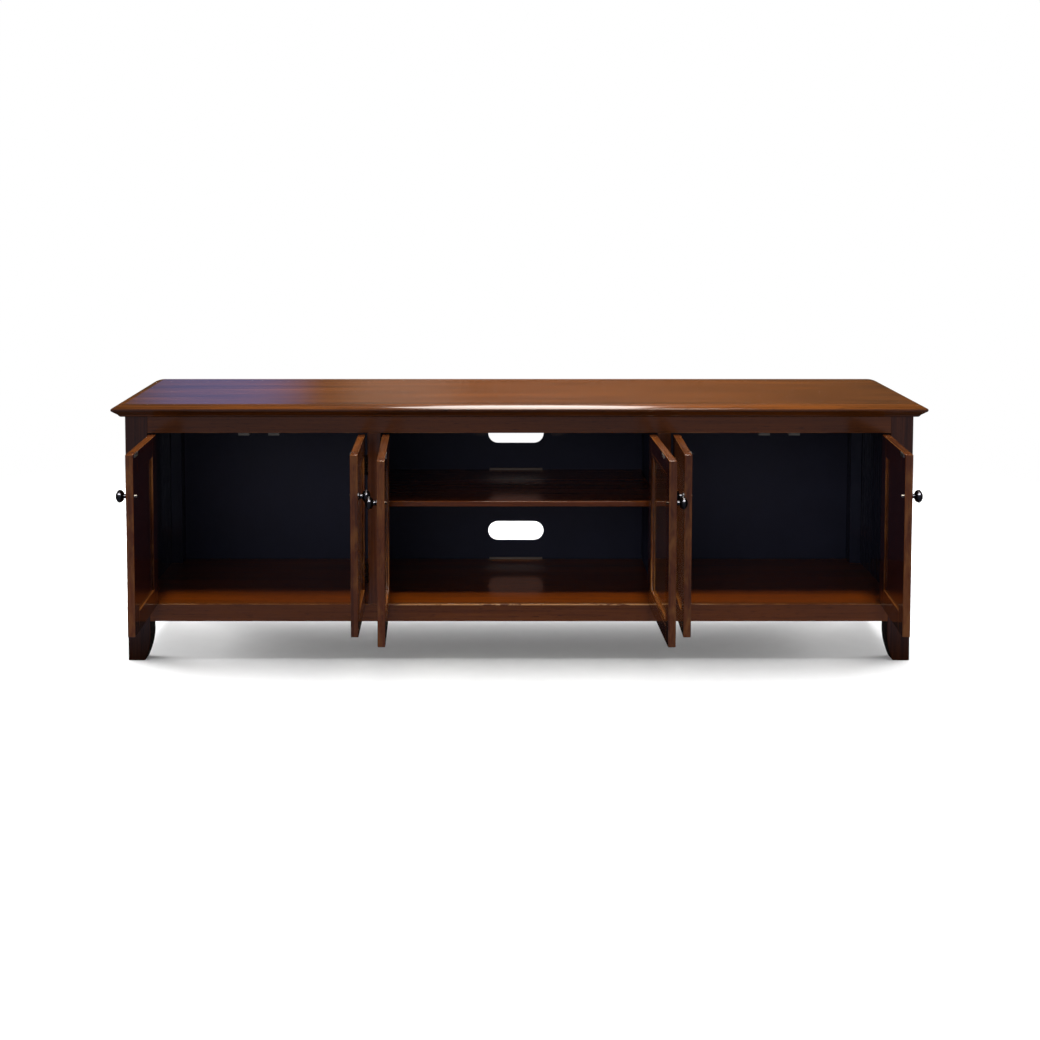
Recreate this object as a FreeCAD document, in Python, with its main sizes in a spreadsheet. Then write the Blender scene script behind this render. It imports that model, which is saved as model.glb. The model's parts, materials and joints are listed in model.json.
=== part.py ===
import FreeCAD, Part
import math
import os

import Sketcher
from FreeCAD import Placement, Rotation, Vector

# A low television stand: three bays side by side under one moulded top, on four square legs.
# The outer bays have pairs of frame-and-panel doors, the middle bay a pair of glazed doors.
# Frame: +X to the right, -Y to the front, +Z up, in millimetres.
# The origin is on the floor, under the middle of the carcass.

SIZES = {
    # The stand without its doors.
    "overall_width": 1829,
    "overall_depth": 432,
    "overall_height": 588,
    # Moulded edge of the top: a rounded crest, a blunt nose, a sloping underside and a bead under it.
    "top_thick": 28,
    "top_overhang": 25.5,
    "crest_inset": 25.5,
    "crest_round": 53,
    "nose_drop": 10.3,
    "nose_half": 3.4,
    "nose_back": 1.6,
    "bead_out": 13.5,
    "bead_foot": 18.8,
    "bead_high": 5,
    "bead_round": 8,
    # Square legs, with feet that curve in on their two inner sides.
    "leg_size": 51,
    "leg_round": 2.5,
    "bottom_rail_level": 90,
    "taper_high": 64,
    "taper_inset": 13,
    # Face frame and rear rails.
    "bottom_rail_high": 40,
    "top_rail_high": 38,
    "rail_thick": 20,
    "side_bay": 495.5,
    "stile_wide": 30,
    "tenon_long": 20,
    "tenon_thick": 8,
    "tenon_shoulder": 6,
    "tenon_stub": 10,
    "tenon_play": 1,
    # Boards of the carcass.
    "board_thick": 16,
    "side_inset": 8,
    "side_housing": 8,
    "side_play": 0.5,
    "floor_seat": 5,
    "floor_play": 0.5,
    "cleat_size": 16,
    "back_thick": 5,
    "back_recess": 5.5,
    "back_lap": 8,
    "back_seam": 1,
    # Cable slots in the middle back panel.
    "slot_long": 140,
    "slot_high": 48.5,
    "slot_low_level": 202,
    "slot_up_level": 451,
    # Slim strips at the foot of the back, under the cable slots.
    "stop_high": 4,
    "stop_deep": 5,
    "stop_short": 3,
    # Shelf of the middle bay and its supports.
    "shelf_level": 359.5,
    "shelf_thick": 12.5,
    "shelf_setback": 30,
    "shelf_play": 1,
    "peg_size": 5,
    "peg_play": 0.2,
    "peg_deep": 9,
    "peg_front": 100,
    "peg_rear": 60,
    "peg_pitch": 32,
    "lug_size": 9,
    "lug_high": 6,
    # Doors.
    "door_thick": 16,
    "door_gap": 2.2,
    "meet_gap": 2,
    "frame_wide": 44,
    "panel_thick": 8,
    "panel_lap": 8,
    "groove_play": 1,
    "glass_thick": 4,
    "glass_lip": 7,
    # How far each door stands open, in degrees.
    "far_left_open": 88.5,
    "left_inner_open": 91,
    "centre_left_open": 88,
    "centre_right_open": 91.5,
    "right_inner_open": 91.5,
    "far_right_open": 86.2,
    # Butt hinges.
    "hinge_gap": 2.4,
    "hinge_long": 45,
    "hinge_inset": 47,
    "pin_front": 3,
    "pin_size": 2.2,
    "pin_play": 0.4,
    "barrel_size": 5.2,
    "knuckle_play": 0.3,
    "leaf_thick": 0.9,
    "leaf_deep": 15,
    # Knobs and the screws that hold them.
    "knob_level": 428,
    "knob_long": 25.5,
    "knob_size": 27.2,
    "knob_foot": 14,
    "knob_foot_high": 1.5,
    "knob_neck": 9.5,
    "knob_neck_from": 4,
    "knob_neck_to": 8,
    "knob_rim_from": 16.5,
    "knob_rim_to": 18.5,
    "knob_back_round": 10,
    "knob_bore_deep": 10,
    "knob_screw": 4,
    "knob_screw_play": 0.3,
    "knob_screw_grip": 8,
    "knob_screw_head": 5.6,
    "knob_head_thick": 2.5,
    # Magnetic catches behind the top rail, and their plates on the doors.
    "catch_wide": 25,
    "catch_deep": 16,
    "catch_drop": 8.5,
    "catch_flange_thick": 2.5,
    "catch_flange_high": 22,
    "catch_reach": 0.4,
    "strike_long": 30,
    "strike_high": 8,
    "strike_thick": 1.2,
    "strike_inset": 33,
    "glazed_strike_inset": 86,
    "strike_drop": 7.5,
    # Wood screws of the back panels and of the top.
    "screw_size": 3.5,
    "screw_play": 0.3,
    "screw_head": 7,
    "screw_head_thick": 2,
    "screw_grip": 11,
    "screw_tip_room": 1,
    "screw_edge": 40,
}

SHELF_HOLE_ROWS = (-2, -1, 0, 1, 2)
SIDES = (-1, 1)

doc = FreeCAD.newDocument("tv_stand")
sheet = doc.addObject("Spreadsheet::Sheet", "Sizes")
for row, (alias, number) in enumerate(SIZES.items(), start=1):
    sheet.set(f"A{row}", alias)
    sheet.set(f"B{row}", str(number))
    sheet.setAlias(f"B{row}", alias)
doc.recompute()


class Size:
    """A length that holds its number and the sheet expression that drives it."""

    def __init__(self, text, value):
        self.text = text
        self.value = value

    def __add__(self, other):
        other = as_size(other)
        return Size(f"({self.text} + {other.text})", self.value + other.value)

    def __sub__(self, other):
        other = as_size(other)
        return Size(f"({self.text} - {other.text})", self.value - other.value)

    def __mul__(self, other):
        other = as_size(other)
        return Size(f"({self.text} * {other.text})", self.value * other.value)

    def __truediv__(self, other):
        other = as_size(other)
        return Size(f"({self.text} / {other.text})", self.value / other.value)

    def __radd__(self, other):
        return as_size(other) + self

    def __rsub__(self, other):
        return as_size(other) - self

    def __rmul__(self, other):
        return as_size(other) * self

    def __neg__(self):
        return 0 - self


def as_size(item):
    """A plain number as a Size, and a Size as it is."""
    if isinstance(item, Size):
        return item
    return Size(str(item), float(item))


size = {alias: Size(f"Sizes.{alias}", float(number)) for alias, number in SIZES.items()}

# Sketch planes: how the sketch is turned, and the direction that its outline is pushed.
PLANES = {
    "XY": (Rotation(), Vector(0, 0, 1)),
    "XZ": (Rotation(Vector(1, 0, 0), 90), Vector(0, 1, 0)),
    "YZ": (Rotation(Vector(1, 1, 1), 120), Vector(1, 0, 0)),
}
# How a cylinder, which stands along Z, is turned to lie along each axis.
ALONG = {
    "x": Rotation(Vector(0, 1, 0), 90),
    "y": Rotation(Vector(1, 0, 0), -90),
    "z": Rotation(),
}


def bind(item, prop, amount):
    """Tie one property of a feature to the sheet."""
    item.setExpression(prop, as_size(amount).text)


def place(item, x, y, z):
    """Tie the place of a feature to the sheet."""
    for axis, amount in zip("xyz", (x, y, z)):
        bind(item, f"Placement.Base.{axis}", amount)


def box(x, y, z):
    """A block between two limits along each axis."""
    item = doc.addObject("Part::Box", "Block")
    for prop, (low, high) in zip(("Length", "Width", "Height"), (x, y, z)):
        bind(item, prop, high - low)
    place(item, x[0], y[0], z[0])
    return item


def rod(axis, across, length, x, y, z):
    """A round rod that starts at a point and runs along an axis."""
    item = doc.addObject("Part::Cylinder", "Rod")
    item.Placement = Placement(Vector(), ALONG[axis])
    bind(item, "Radius", across / 2)
    bind(item, "Height", length)
    place(item, x, y, z)
    return item


def outline(plane, points):
    """A closed outline. A point with a radius and a turn is reached by an arc, any other by a line."""
    sketch = doc.addObject("Sketcher::SketchObject", "Outline")
    sketch.Placement = Placement(Vector(), PLANES[plane][0])
    edges = []
    sizes = []
    for here, there in zip(points[-1:] + points[:-1], points):
        first = Vector(here[0].value, here[1].value)
        last = Vector(there[0].value, there[1].value)
        if len(there) == 2:
            edge = sketch.addGeometry(Part.LineSegment(first, last))
            ends = (1, 2)
        else:
            radius, turn = there[2:]
            half = (last - first) / 2
            rise = math.sqrt(radius.value ** 2 - half.Length ** 2)
            left = Vector(-half.y, half.x).normalize()
            middle = first + half + left * turn * rise
            arms = [first - middle, last - middle][::turn]
            circle = Part.Circle(middle, Vector(0, 0, 1), radius.value)
            angles = [math.atan2(arm.y, arm.x) for arm in arms]
            edge = sketch.addGeometry(Part.ArcOfCircle(circle, *angles))
            ends = (1, 2)[::turn]
            sizes.append((("Radius", edge), radius))
        sizes.append((("DistanceX", -1, 1, edge, ends[0]), here[0]))
        sizes.append((("DistanceY", -1, 1, edge, ends[0]), here[1]))
        edges.append((edge, ends))
    for (edge, ends), (after, after_ends) in zip(edges, edges[1:] + edges[:1]):
        sketch.addConstraint(Sketcher.Constraint("Coincident", edge, ends[1], after, after_ends[0]))
    for what, amount in sizes:
        number = sketch.addConstraint(Sketcher.Constraint(*what, amount.value))
        bind(sketch, f"Constraints[{number}]", amount)
    return sketch


def prism(plane, points, low, high):
    """An outline pushed along the axis across its plane, from one limit to another."""
    sketch = outline(plane, points)
    away = PLANES[plane][1]
    place(sketch, *[low * int(step) for step in away])
    item = doc.addObject("Part::Extrusion", "Prism")
    item.Base = sketch
    item.DirMode = "Custom"
    item.Dir = away
    item.Solid = True
    bind(item, "LengthFwd", high - low)
    return item


def joined(kind, items):
    """Several solids made into one by a boolean, or a single solid as it is."""
    if len(items) == 1:
        return items[0]
    item = doc.addObject(f"Part::{kind}", kind)
    item.Shapes = items
    return item


def fuse(*items):
    return joined("MultiFuse", list(items))


def common(*items):
    return joined("MultiCommon", list(items))


def cut(base, *tools):
    """A solid with others taken out of it."""
    item = doc.addObject("Part::Cut", "Cut")
    item.Base = base
    item.Tool = fuse(*tools)
    return item


def group(*items):
    """Separate solids that share a name and a place."""
    item = doc.addObject("Part::Compound", "Group")
    item.Links = list(items)
    return item


def screw(axis, start, length, across, head, head_thick, head_first=False):
    """A screw along an axis, with its head at the far end or at the start."""
    def further(amount):
        return [place_on + amount if name == axis else place_on for name, place_on in zip("xyz", start)]

    shank_start = further(head_thick) if head_first else start
    head_start = start if head_first else further(length)
    return fuse(rod(axis, across, length, *shank_start), rod(axis, head, head_thick, *head_start))


nodes = []


def node(label, item):
    """Name a finished sub-part."""
    item.Label = label
    nodes.append(item)


def mid(pair):
    return (pair[0] + pair[1]) / 2


def about(centre, length):
    """The limits of a length that lies evenly about a centre."""
    return (centre - length / 2, centre + length / 2)


def inwards(pair, amount):
    """Limits drawn in at both ends."""
    return (pair[0] + amount, pair[1] - amount)


def sided(sign, low, high):
    """Limits on the positive side of the middle, or their mirror image on the other."""
    if sign > 0:
        return (low, high)
    return (-high, -low)


def tangent_radius(run, rise):
    """Radius of an arc over a run and a rise that leaves its end along the run."""
    return (run * run + rise * rise) / (2 * rise)


# Limits of the carcass that the pieces share.
zero = as_size(0)
half_top = size["overall_width"] / 2
half_width = half_top - size["top_overhang"]
half_depth = (size["overall_depth"] - size["top_overhang"]) / 2
top_front = half_depth + size["top_overhang"]
top_level = size["overall_height"]
leg_height = top_level - size["top_thick"]
leg_inner = half_width - size["leg_size"]
leg_depth = half_depth - size["leg_size"]
floor_level = size["bottom_rail_level"] + size["bottom_rail_high"]
head_level = leg_height - size["top_rail_high"]
stile_outer = leg_inner - size["side_bay"]
stile_inner = stile_outer - size["stile_wide"]
divider_mid = mid((stile_inner, stile_outer))
divider_inner = divider_mid - size["board_thick"] / 2
side_inner = half_width - size["side_inset"] - size["board_thick"]
rail_back = size["rail_thick"] - half_depth
back_front = half_depth - size["back_recess"] - size["back_thick"]
rear_rail_front = back_front - size["rail_thick"]

wall_span = (size["bottom_rail_level"], leg_height)
top_rail_span = (head_level, leg_height)
bottom_rail_span = (size["bottom_rail_level"], floor_level)
floor_span = (floor_level - size["board_thick"], floor_level)
between_legs = (-leg_inner, leg_inner)
front_rail_deep = (-half_depth, rail_back)
rear_rail_deep = (rear_rail_front, back_front)
screw_bore = size["screw_size"] + 2 * size["screw_play"]
screw_hole_deep = size["screw_grip"] + size["screw_tip_room"]


def tenon_deep(rail_deep):
    """Front and back limits of a tenon in the middle of a rail."""
    return about(mid(rail_deep), size["tenon_thick"])


def moulding(edge, sign):
    """Points of the moulded edge, from the underside out round the bead and the nose to the crest."""
    nose_level = top_level - size["nose_drop"]
    nose_radius = tangent_radius(size["nose_half"], size["nose_back"])
    nose = sign * (edge - size["nose_back"])
    return [
        (sign * (edge - size["bead_foot"]), leg_height),
        (sign * (edge - size["bead_out"]), leg_height + size["bead_high"], size["bead_round"], sign),
        (nose, nose_level - size["nose_half"]),
        (nose, nose_level + size["nose_half"], nose_radius, sign),
        (sign * (edge - size["crest_inset"]), top_level, size["crest_round"], sign),
    ]


def walked_back(points):
    """The same points in the other order, with each arc turned to suit."""
    path = []
    arc = ()
    for point in reversed(points):
        path.append(point[:2] + arc)
        arc = (point[2], -point[3]) if len(point) == 4 else ()
    return path


def top_screw_places():
    """Where the screws come up through the top cleats, three on each side."""
    reach = leg_depth - size["screw_edge"]
    across = side_inner - size["cleat_size"] / 2
    return [(sign * across, share * reach) for sign in SIDES for share in (-1, 0, 1)]


def top_panel():
    """The top: its section across the width and its section across the depth, where both are filled."""
    across_width = moulding(half_top, 1) + walked_back(moulding(half_top, -1))
    across_depth = walked_back(moulding(top_front, -1)) + [(half_depth, leg_height), (half_depth, top_level)]
    blank = common(
        prism("XZ", across_width, -top_front, half_depth),
        prism("YZ", across_depth, -half_top, half_top),
    )
    holes = [rod("z", screw_bore, screw_hole_deep, x, y, leg_height) for x, y in top_screw_places()]
    node("top_panel", cut(blank, *holes))


def leg_side(sign, outer):
    """Outline of a leg from one side: straight outside, with a foot that curves in on the inside."""
    inner = outer - size["leg_size"]
    radius = tangent_radius(size["taper_high"], size["taper_inset"])
    return [
        (sign * outer, zero),
        (sign * outer, leg_height),
        (sign * inner, leg_height),
        (sign * inner, size["taper_high"]),
        (sign * (inner + size["taper_inset"]), zero, radius, sign),
    ]


def leg_plan(side, end):
    """Outline of a leg from above, with its outer corner rounded."""
    radius = size["leg_round"]
    return [
        (side * leg_inner, end * leg_depth),
        (side * half_width, end * leg_depth),
        (side * half_width, end * (half_depth - radius)),
        (side * (half_width - radius), end * half_depth, radius, side * end),
        (side * leg_inner, end * half_depth),
    ]


def leg(label, side, end):
    """A leg, with mortises for two rails, a housing for the side and, at the rear, a rebate for the back."""
    blank = common(
        prism("XZ", leg_side(side, half_width), *sided(end, leg_depth, half_depth)),
        prism("YZ", leg_side(end, half_depth), *sided(side, leg_inner, half_width)),
        prism("XY", leg_plan(side, end), zero, leg_height),
    )
    rail_deep = front_rail_deep if end < 0 else rear_rail_deep
    mortise = sided(side, leg_inner, leg_inner + size["tenon_long"] + size["tenon_play"])
    tools = [
        box(mortise, tenon_deep(rail_deep), inwards(span, size["tenon_shoulder"]))
        for span in (bottom_rail_span, top_rail_span)
    ]
    housing = sided(side, side_inner, side_inner + size["board_thick"])
    housing_deep = sided(end, leg_depth, leg_depth + size["side_housing"] + size["side_play"])
    tools.append(box(housing, housing_deep, wall_span))
    if end > 0:
        rebate = sided(side, leg_inner, leg_inner + size["back_lap"] + size["side_play"])
        tools.append(box(rebate, (back_front, half_depth), wall_span))
    node(label, cut(blank, *tools))


def side_panel(label, sign):
    reach = leg_depth + size["side_housing"]
    node(label, box(sided(sign, side_inner, side_inner + size["board_thick"]), (-reach, reach), wall_span))


def stile_mortises(span):
    """Sockets in a front rail for the stubs of the two divider stiles."""
    return [
        box(inwards(sided(sign, stile_inner, stile_outer), size["tenon_shoulder"]),
            tenon_deep(front_rail_deep), span)
        for sign in SIDES
    ]


def divider_stile(label, sign):
    """An upright of the face frame, with a stub at each end."""
    x = sided(sign, stile_inner, stile_outer)
    stub = size["tenon_stub"]
    body = box(x, front_rail_deep, (floor_level, head_level))
    stubs = box(inwards(x, size["tenon_shoulder"]), tenon_deep(front_rail_deep),
                (floor_level - stub, head_level + stub))
    node(label, fuse(body, stubs))


def rail(label, deep, span, tools):
    """A long rail, tenoned into a leg at each end."""
    reach = leg_inner + size["tenon_long"]
    body = box(between_legs, deep, span)
    tenons = box((-reach, reach), tenon_deep(deep), inwards(span, size["tenon_shoulder"]))
    node(label, cut(fuse(body, tenons), *tools))


def back_panels():
    """Name and limits in X of the three back panels, which meet behind the dividers."""
    edge = leg_inner + size["back_lap"]
    seam = size["back_seam"] / 2
    return [
        ("left_back_panel", (-edge, -divider_mid - seam)),
        ("centre_back_panel", (seam - divider_mid, divider_mid - seam)),
        ("right_back_panel", (divider_mid + seam, edge)),
    ]


def back_screw_places(x, span):
    """Three screws along one edge of a back panel, into the middle of a rail."""
    edge = inwards(x, size["screw_edge"])
    return [(place_on, mid(span)) for place_on in (edge[0], mid(x), edge[1])]


def all_back_screws(span):
    return [spot for _, x in back_panels() for spot in back_screw_places(x, span)]


def rear_rail_holes(span):
    """Holes in a rear rail for the screws of the back panels."""
    start = back_front - screw_hole_deep
    return [rod("y", screw_bore, screw_hole_deep, x, start, z) for x, z in all_back_screws(span)]


def cable_slot(level):
    """A slot with round ends, through the middle back panel."""
    straight = about(zero, size["slot_long"] - size["slot_high"])
    deep = (back_front, back_front + size["back_thick"])
    ends = [rod("y", size["slot_high"], size["back_thick"], x, deep[0], level) for x in straight]
    return fuse(box(straight, deep, about(level, size["slot_high"])), *ends)


def back_panel(label, x):
    board = box(x, (back_front, back_front + size["back_thick"]), wall_span)
    tools = [
        rod("y", screw_bore, size["back_thick"], place_on, back_front, z)
        for span in (bottom_rail_span, top_rail_span)
        for place_on, z in back_screw_places(x, span)
    ]
    if label == "centre_back_panel":
        tools += [cable_slot(size["slot_low_level"]), cable_slot(size["slot_up_level"])]
    node(label, cut(board, *tools))


def bottom_panel():
    """The floor of the bays, seated in the two bottom rails and notched round the legs."""
    deep = (rail_back - size["floor_seat"], rear_rail_front + size["floor_seat"])
    board = box((-side_inner, side_inner), deep, floor_span)
    notches = []
    for side in SIDES:
        notch = sided(side, leg_inner - size["floor_play"], side_inner)
        front = (deep[0], size["floor_play"] - leg_depth)
        rear = (leg_depth - size["floor_play"], deep[1])
        notches += [box(notch, front, floor_span), box(notch, rear, floor_span)]
    node("bottom_panel", cut(board, *notches))


def cleats(label, top, holes):
    """Two square battens along the sides, with holes for screws where the top is fixed."""
    span = (top - size["cleat_size"], top)
    battens = []
    for sign in SIDES:
        x = sided(sign, side_inner - size["cleat_size"], side_inner)
        batten = box(x, (-leg_depth, leg_depth), span)
        drills = [rod("z", screw_bore, size["cleat_size"], *spot, span[0]) for spot in holes[sign]]
        battens.append(cut(batten, *drills) if drills else batten)
    node(label, group(*battens))


shelf_bottom = size["shelf_level"] - size["shelf_thick"]
peg_level = shelf_bottom - size["lug_high"] / 2
peg_depths = (size["peg_front"] - half_depth, back_front - size["peg_rear"])


def divider(label, sign):
    """A board between two bays, notched over the upper rear rail, with rows of holes for shelf supports."""
    x = sided(sign, divider_inner, divider_inner + size["board_thick"])
    board = box(x, (rail_back, back_front), (floor_level, leg_height))
    notch = box(x, rear_rail_deep, top_rail_span)
    hole_deep = size["peg_deep"] + size["peg_play"]
    hole_start = sided(sign, divider_inner, divider_inner + hole_deep)[0]
    bore = size["peg_size"] + 2 * size["peg_play"]
    holes = [
        rod("x", bore, hole_deep, hole_start, y, peg_level + row * size["peg_pitch"])
        for y in peg_depths
        for row in SHELF_HOLE_ROWS
    ]
    node(label, cut(board, notch, *holes))


def media_shelf():
    half = divider_inner - size["shelf_play"]
    deep = (size["shelf_setback"] - half_depth, back_front - size["shelf_play"])
    node("media_shelf", box((-half, half), deep, (shelf_bottom, size["shelf_level"])))


def cable_slot_stops():
    """Two slim strips that keep what stands on the floor and the shelf off the cable slots."""
    x = about(zero, size["slot_long"] - 2 * size["stop_short"])
    stops = []
    for level, back in ((floor_level, back_front), (size["shelf_level"], back_front - size["shelf_play"])):
        stops.append(box(x, (back - size["stop_deep"], back), (level, level + size["stop_high"])))
    node("cable_slot_stops", group(*stops))


def shelf_pins():
    """Four supports: a round peg in the divider and a flat lug under the shelf."""
    pins = []
    for sign in SIDES:
        lug = sided(sign, divider_inner - size["lug_size"], divider_inner)
        peg = sided(sign, divider_inner, divider_inner + size["peg_deep"])
        for y in peg_depths:
            pins.append(fuse(
                box(lug, about(y, size["lug_size"]), (shelf_bottom - size["lug_high"], shelf_bottom)),
                rod("x", size["peg_size"], size["peg_deep"], peg[0], y, peg_level),
            ))
    node("shelf_pins", group(*pins))


# Doors. Each is laid out closed, with the pin of its hinges at the origin, then turned about that pin.
# Along the door, lengths run from the pin to the free edge. A hand of 1 hangs a door on its left edge.
door_span = (floor_level + size["door_gap"], head_level - size["door_gap"])
door_deep = (size["pin_front"], size["pin_front"] + size["door_thick"])
hinge_edge = size["hinge_gap"] / 2
side_door_width = (size["side_bay"] - size["meet_gap"]) / 2 - size["hinge_gap"]
centre_door_width = stile_inner - size["meet_gap"] / 2 - size["hinge_gap"]
slot_deep = size["panel_lap"] + size["groove_play"]

# Name, hand, place of the hinge pin, width and whether the door is glazed.
DOORS = [
    ("far_left", 1, hinge_edge - leg_inner, side_door_width, False),
    ("left_inner", -1, -stile_outer - hinge_edge, side_door_width, False),
    ("centre_left", 1, hinge_edge - stile_inner, centre_door_width, True),
    ("centre_right", -1, stile_inner - hinge_edge, centre_door_width, True),
    ("right_inner", 1, stile_outer + hinge_edge, side_door_width, False),
    ("far_right", -1, leg_inner - hinge_edge, side_door_width, False),
]


def hinge_leaf(hand, low, on_frame):
    """One leaf of a butt hinge: the frame leaf holds the pin, the door leaf turns on it."""
    third = size["hinge_long"] / 3
    high = low + size["hinge_long"]
    leaf = (-hinge_edge, size["leaf_thick"] - hinge_edge)
    spans = [(low, low + third), (high - third, high)]
    if not on_frame:
        leaf = (hinge_edge - size["leaf_thick"], hinge_edge)
        spans = [inwards((low + third, high - third), size["knuckle_play"])]
    x = sided(hand, *leaf)
    pieces = [box(x, (size["pin_front"], size["pin_front"] + size["leaf_deep"]), (low, high))]
    for span in spans:
        pieces.append(rod("z", size["barrel_size"], span[1] - span[0], zero, zero, span[0]))
        pieces.append(box(x, (zero, size["pin_front"]), span))
    if on_frame:
        return fuse(*pieces, rod("z", size["pin_size"], size["hinge_long"], zero, zero, low))
    bore = size["pin_size"] + 2 * size["pin_play"]
    return cut(fuse(*pieces), rod("z", bore, size["hinge_long"], zero, zero, low))


def hinge_leaves(hand, on_frame):
    """The lower and the upper leaf of one door."""
    low = door_span[0] + size["hinge_inset"]
    high = door_span[1] - size["hinge_inset"] - size["hinge_long"]
    return [hinge_leaf(hand, level, on_frame) for level in (low, high)]


def hung(name, hand, pin, item):
    """Turn a door's piece about its pin, as far as that door stands open."""
    item.Placement = Placement(Vector(), Rotation(Vector(0, 0, -hand), SIZES[f"{name}_open"]))
    bind(item, "Placement.Rotation.Angle", size[f"{name}_open"])
    place(item, pin, -half_depth - size["pin_front"], zero)
    return item


def strike_place(width, glazed):
    """How far from the pin the strike plate of a door lies. Glazed doors have it further in."""
    inset = size["glazed_strike_inset"] if glazed else size["strike_inset"]
    return hinge_edge + width - inset


def knob():
    """A turned knob with its foot at the origin, reaching to the front, bored for its screw."""
    bore = size["knob_screw"] / 2 + size["knob_screw_play"]
    rim = size["knob_size"] / 2
    dome = tangent_radius(rim, size["knob_long"] - size["knob_rim_to"])
    profile = outline("XY", [
        (bore, zero),
        (size["knob_foot"] / 2, zero),
        (size["knob_foot"] / 2, -size["knob_foot_high"]),
        (size["knob_neck"] / 2, -size["knob_neck_from"]),
        (size["knob_neck"] / 2, -size["knob_neck_to"]),
        (rim, -size["knob_rim_from"], size["knob_back_round"], -1),
        (rim, -size["knob_rim_to"]),
        (zero, -size["knob_long"], dome, -1),
        (zero, -size["knob_bore_deep"]),
        (bore, -size["knob_bore_deep"]),
    ])
    item = doc.addObject("Part::Revolution", "Knob")
    item.Source = profile
    item.Axis = Vector(0, 1, 0)
    item.Angle = 360
    item.Solid = True
    return item


def door(name, hand, pin, width, glazed):
    """The pieces of one door, each named, and hung on its pin."""
    def add(label, *items):
        node(f"{name}_door_{label}", hung(name, hand, pin, group(*items)))

    def along(low, high):
        return sided(hand, low, high)

    free_edge = hinge_edge + width
    inner = (hinge_edge + size["frame_wide"], free_edge - size["frame_wide"])
    inner_span = inwards(door_span, size["frame_wide"])
    slot = about(mid(door_deep), size["panel_thick"])
    tongue = size["panel_lap"]
    if glazed:
        slot = (door_deep[0] + size["glass_lip"], door_deep[1])
        tongue = slot_deep
    knob_at = free_edge - size["frame_wide"] / 2
    knob_bore = size["knob_screw"] + 2 * size["knob_screw_play"]

    hinge_stile = cut(
        box(along(hinge_edge, inner[0]), door_deep, door_span),
        box(along(inner[0] - slot_deep, inner[0]), slot, door_span),
    )
    free_stile = cut(
        box(along(inner[1], free_edge), door_deep, door_span),
        box(along(inner[1], inner[1] + slot_deep), slot, door_span),
        rod("y", knob_bore, size["door_thick"], hand * knob_at, door_deep[0], size["knob_level"]),
    )
    add("stiles", hinge_stile, free_stile)

    rails = []
    tongued = along(inner[0] - tongue, inner[1] + tongue)
    for span, groove in (
        ((door_span[0], inner_span[0]), (inner_span[0] - slot_deep, inner_span[0])),
        ((inner_span[1], door_span[1]), (inner_span[1], inner_span[1] + slot_deep)),
    ):
        body = fuse(box(along(*inner), door_deep, span), box(tongued, slot, span))
        rails.append(cut(body, box(tongued, slot, groove)))
    add("rails", *rails)

    lap = along(inner[0] - size["panel_lap"], inner[1] + size["panel_lap"])
    lap_span = (inner_span[0] - size["panel_lap"], inner_span[1] + size["panel_lap"])
    if glazed:
        glass_back = slot[0] + size["glass_thick"]
        add("glass", box(lap, (slot[0], glass_back), lap_span))
        bead_deep = (glass_back, door_deep[1])
        bead_span = (inner_span[0] - slot_deep, inner_span[1] + slot_deep)
        add("glass_beads",
            box(along(inner[0] - slot_deep, inner[0]), bead_deep, bead_span),
            box(along(inner[1], inner[1] + slot_deep), bead_deep, bead_span),
            box(along(*inner), bead_deep, (bead_span[0], inner_span[0])),
            box(along(*inner), bead_deep, (inner_span[1], bead_span[1])))
    else:
        add("panel", box(lap, slot, lap_span))

    knob_seat = group(knob())
    place(knob_seat, hand * knob_at, door_deep[0], size["knob_level"])
    add("knob", knob_seat)

    knob_screw = screw(
        "y", (hand * knob_at, door_deep[0] - size["knob_screw_grip"], size["knob_level"]),
        size["knob_screw_grip"] + size["door_thick"], size["knob_screw"],
        size["knob_screw_head"], size["knob_head_thick"])
    strike = box(
        along(*about(strike_place(width, glazed), size["strike_long"])),
        (door_deep[1], door_deep[1] + size["strike_thick"]),
        about(head_level - size["strike_drop"], size["strike_high"]))
    add("fittings", *hinge_leaves(hand, False), strike, knob_screw)


def frame_hinge_leaves():
    """The leaves on the legs and stiles, with the pins of the hinges."""
    pairs = []
    for _, hand, pin, _, _ in DOORS:
        pair = group(*hinge_leaves(hand, True))
        place(pair, pin, -half_depth - size["pin_front"], zero)
        pairs.append(pair)
    node("frame_hinge_leaves", group(*pairs))


def magnetic_catches():
    """A catch behind the top rail for each door: a magnet case that hangs from a screwed flange."""
    catches = []
    face = size["door_thick"] + size["strike_thick"] + size["catch_reach"] - half_depth
    for _, hand, pin, width, glazed in DOORS:
        x = about(pin + hand * strike_place(width, glazed), size["catch_wide"])
        catches.append(fuse(
            box(x, (face, face + size["catch_deep"]), (head_level - size["catch_drop"], head_level)),
            box(x, (rail_back, rail_back + size["catch_flange_thick"]),
                (head_level, head_level + size["catch_flange_high"])),
        ))
    node("magnetic_catches", group(*catches))


def back_panel_screws():
    length = size["screw_grip"] + size["back_thick"]
    node("back_panel_screws", group(*[
        screw("y", (x, back_front - size["screw_grip"], z), length,
              size["screw_size"], size["screw_head"], size["screw_head_thick"])
        for span in (bottom_rail_span, top_rail_span)
        for x, z in all_back_screws(span)
    ]))


def top_screws():
    start = leg_height - size["cleat_size"] - size["screw_head_thick"]
    length = size["cleat_size"] + size["screw_grip"]
    node("top_screws", group(*[
        screw("z", (x, y, start), length, size["screw_size"],
              size["screw_head"], size["screw_head_thick"], head_first=True)
        for x, y in top_screw_places()
    ]))


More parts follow.
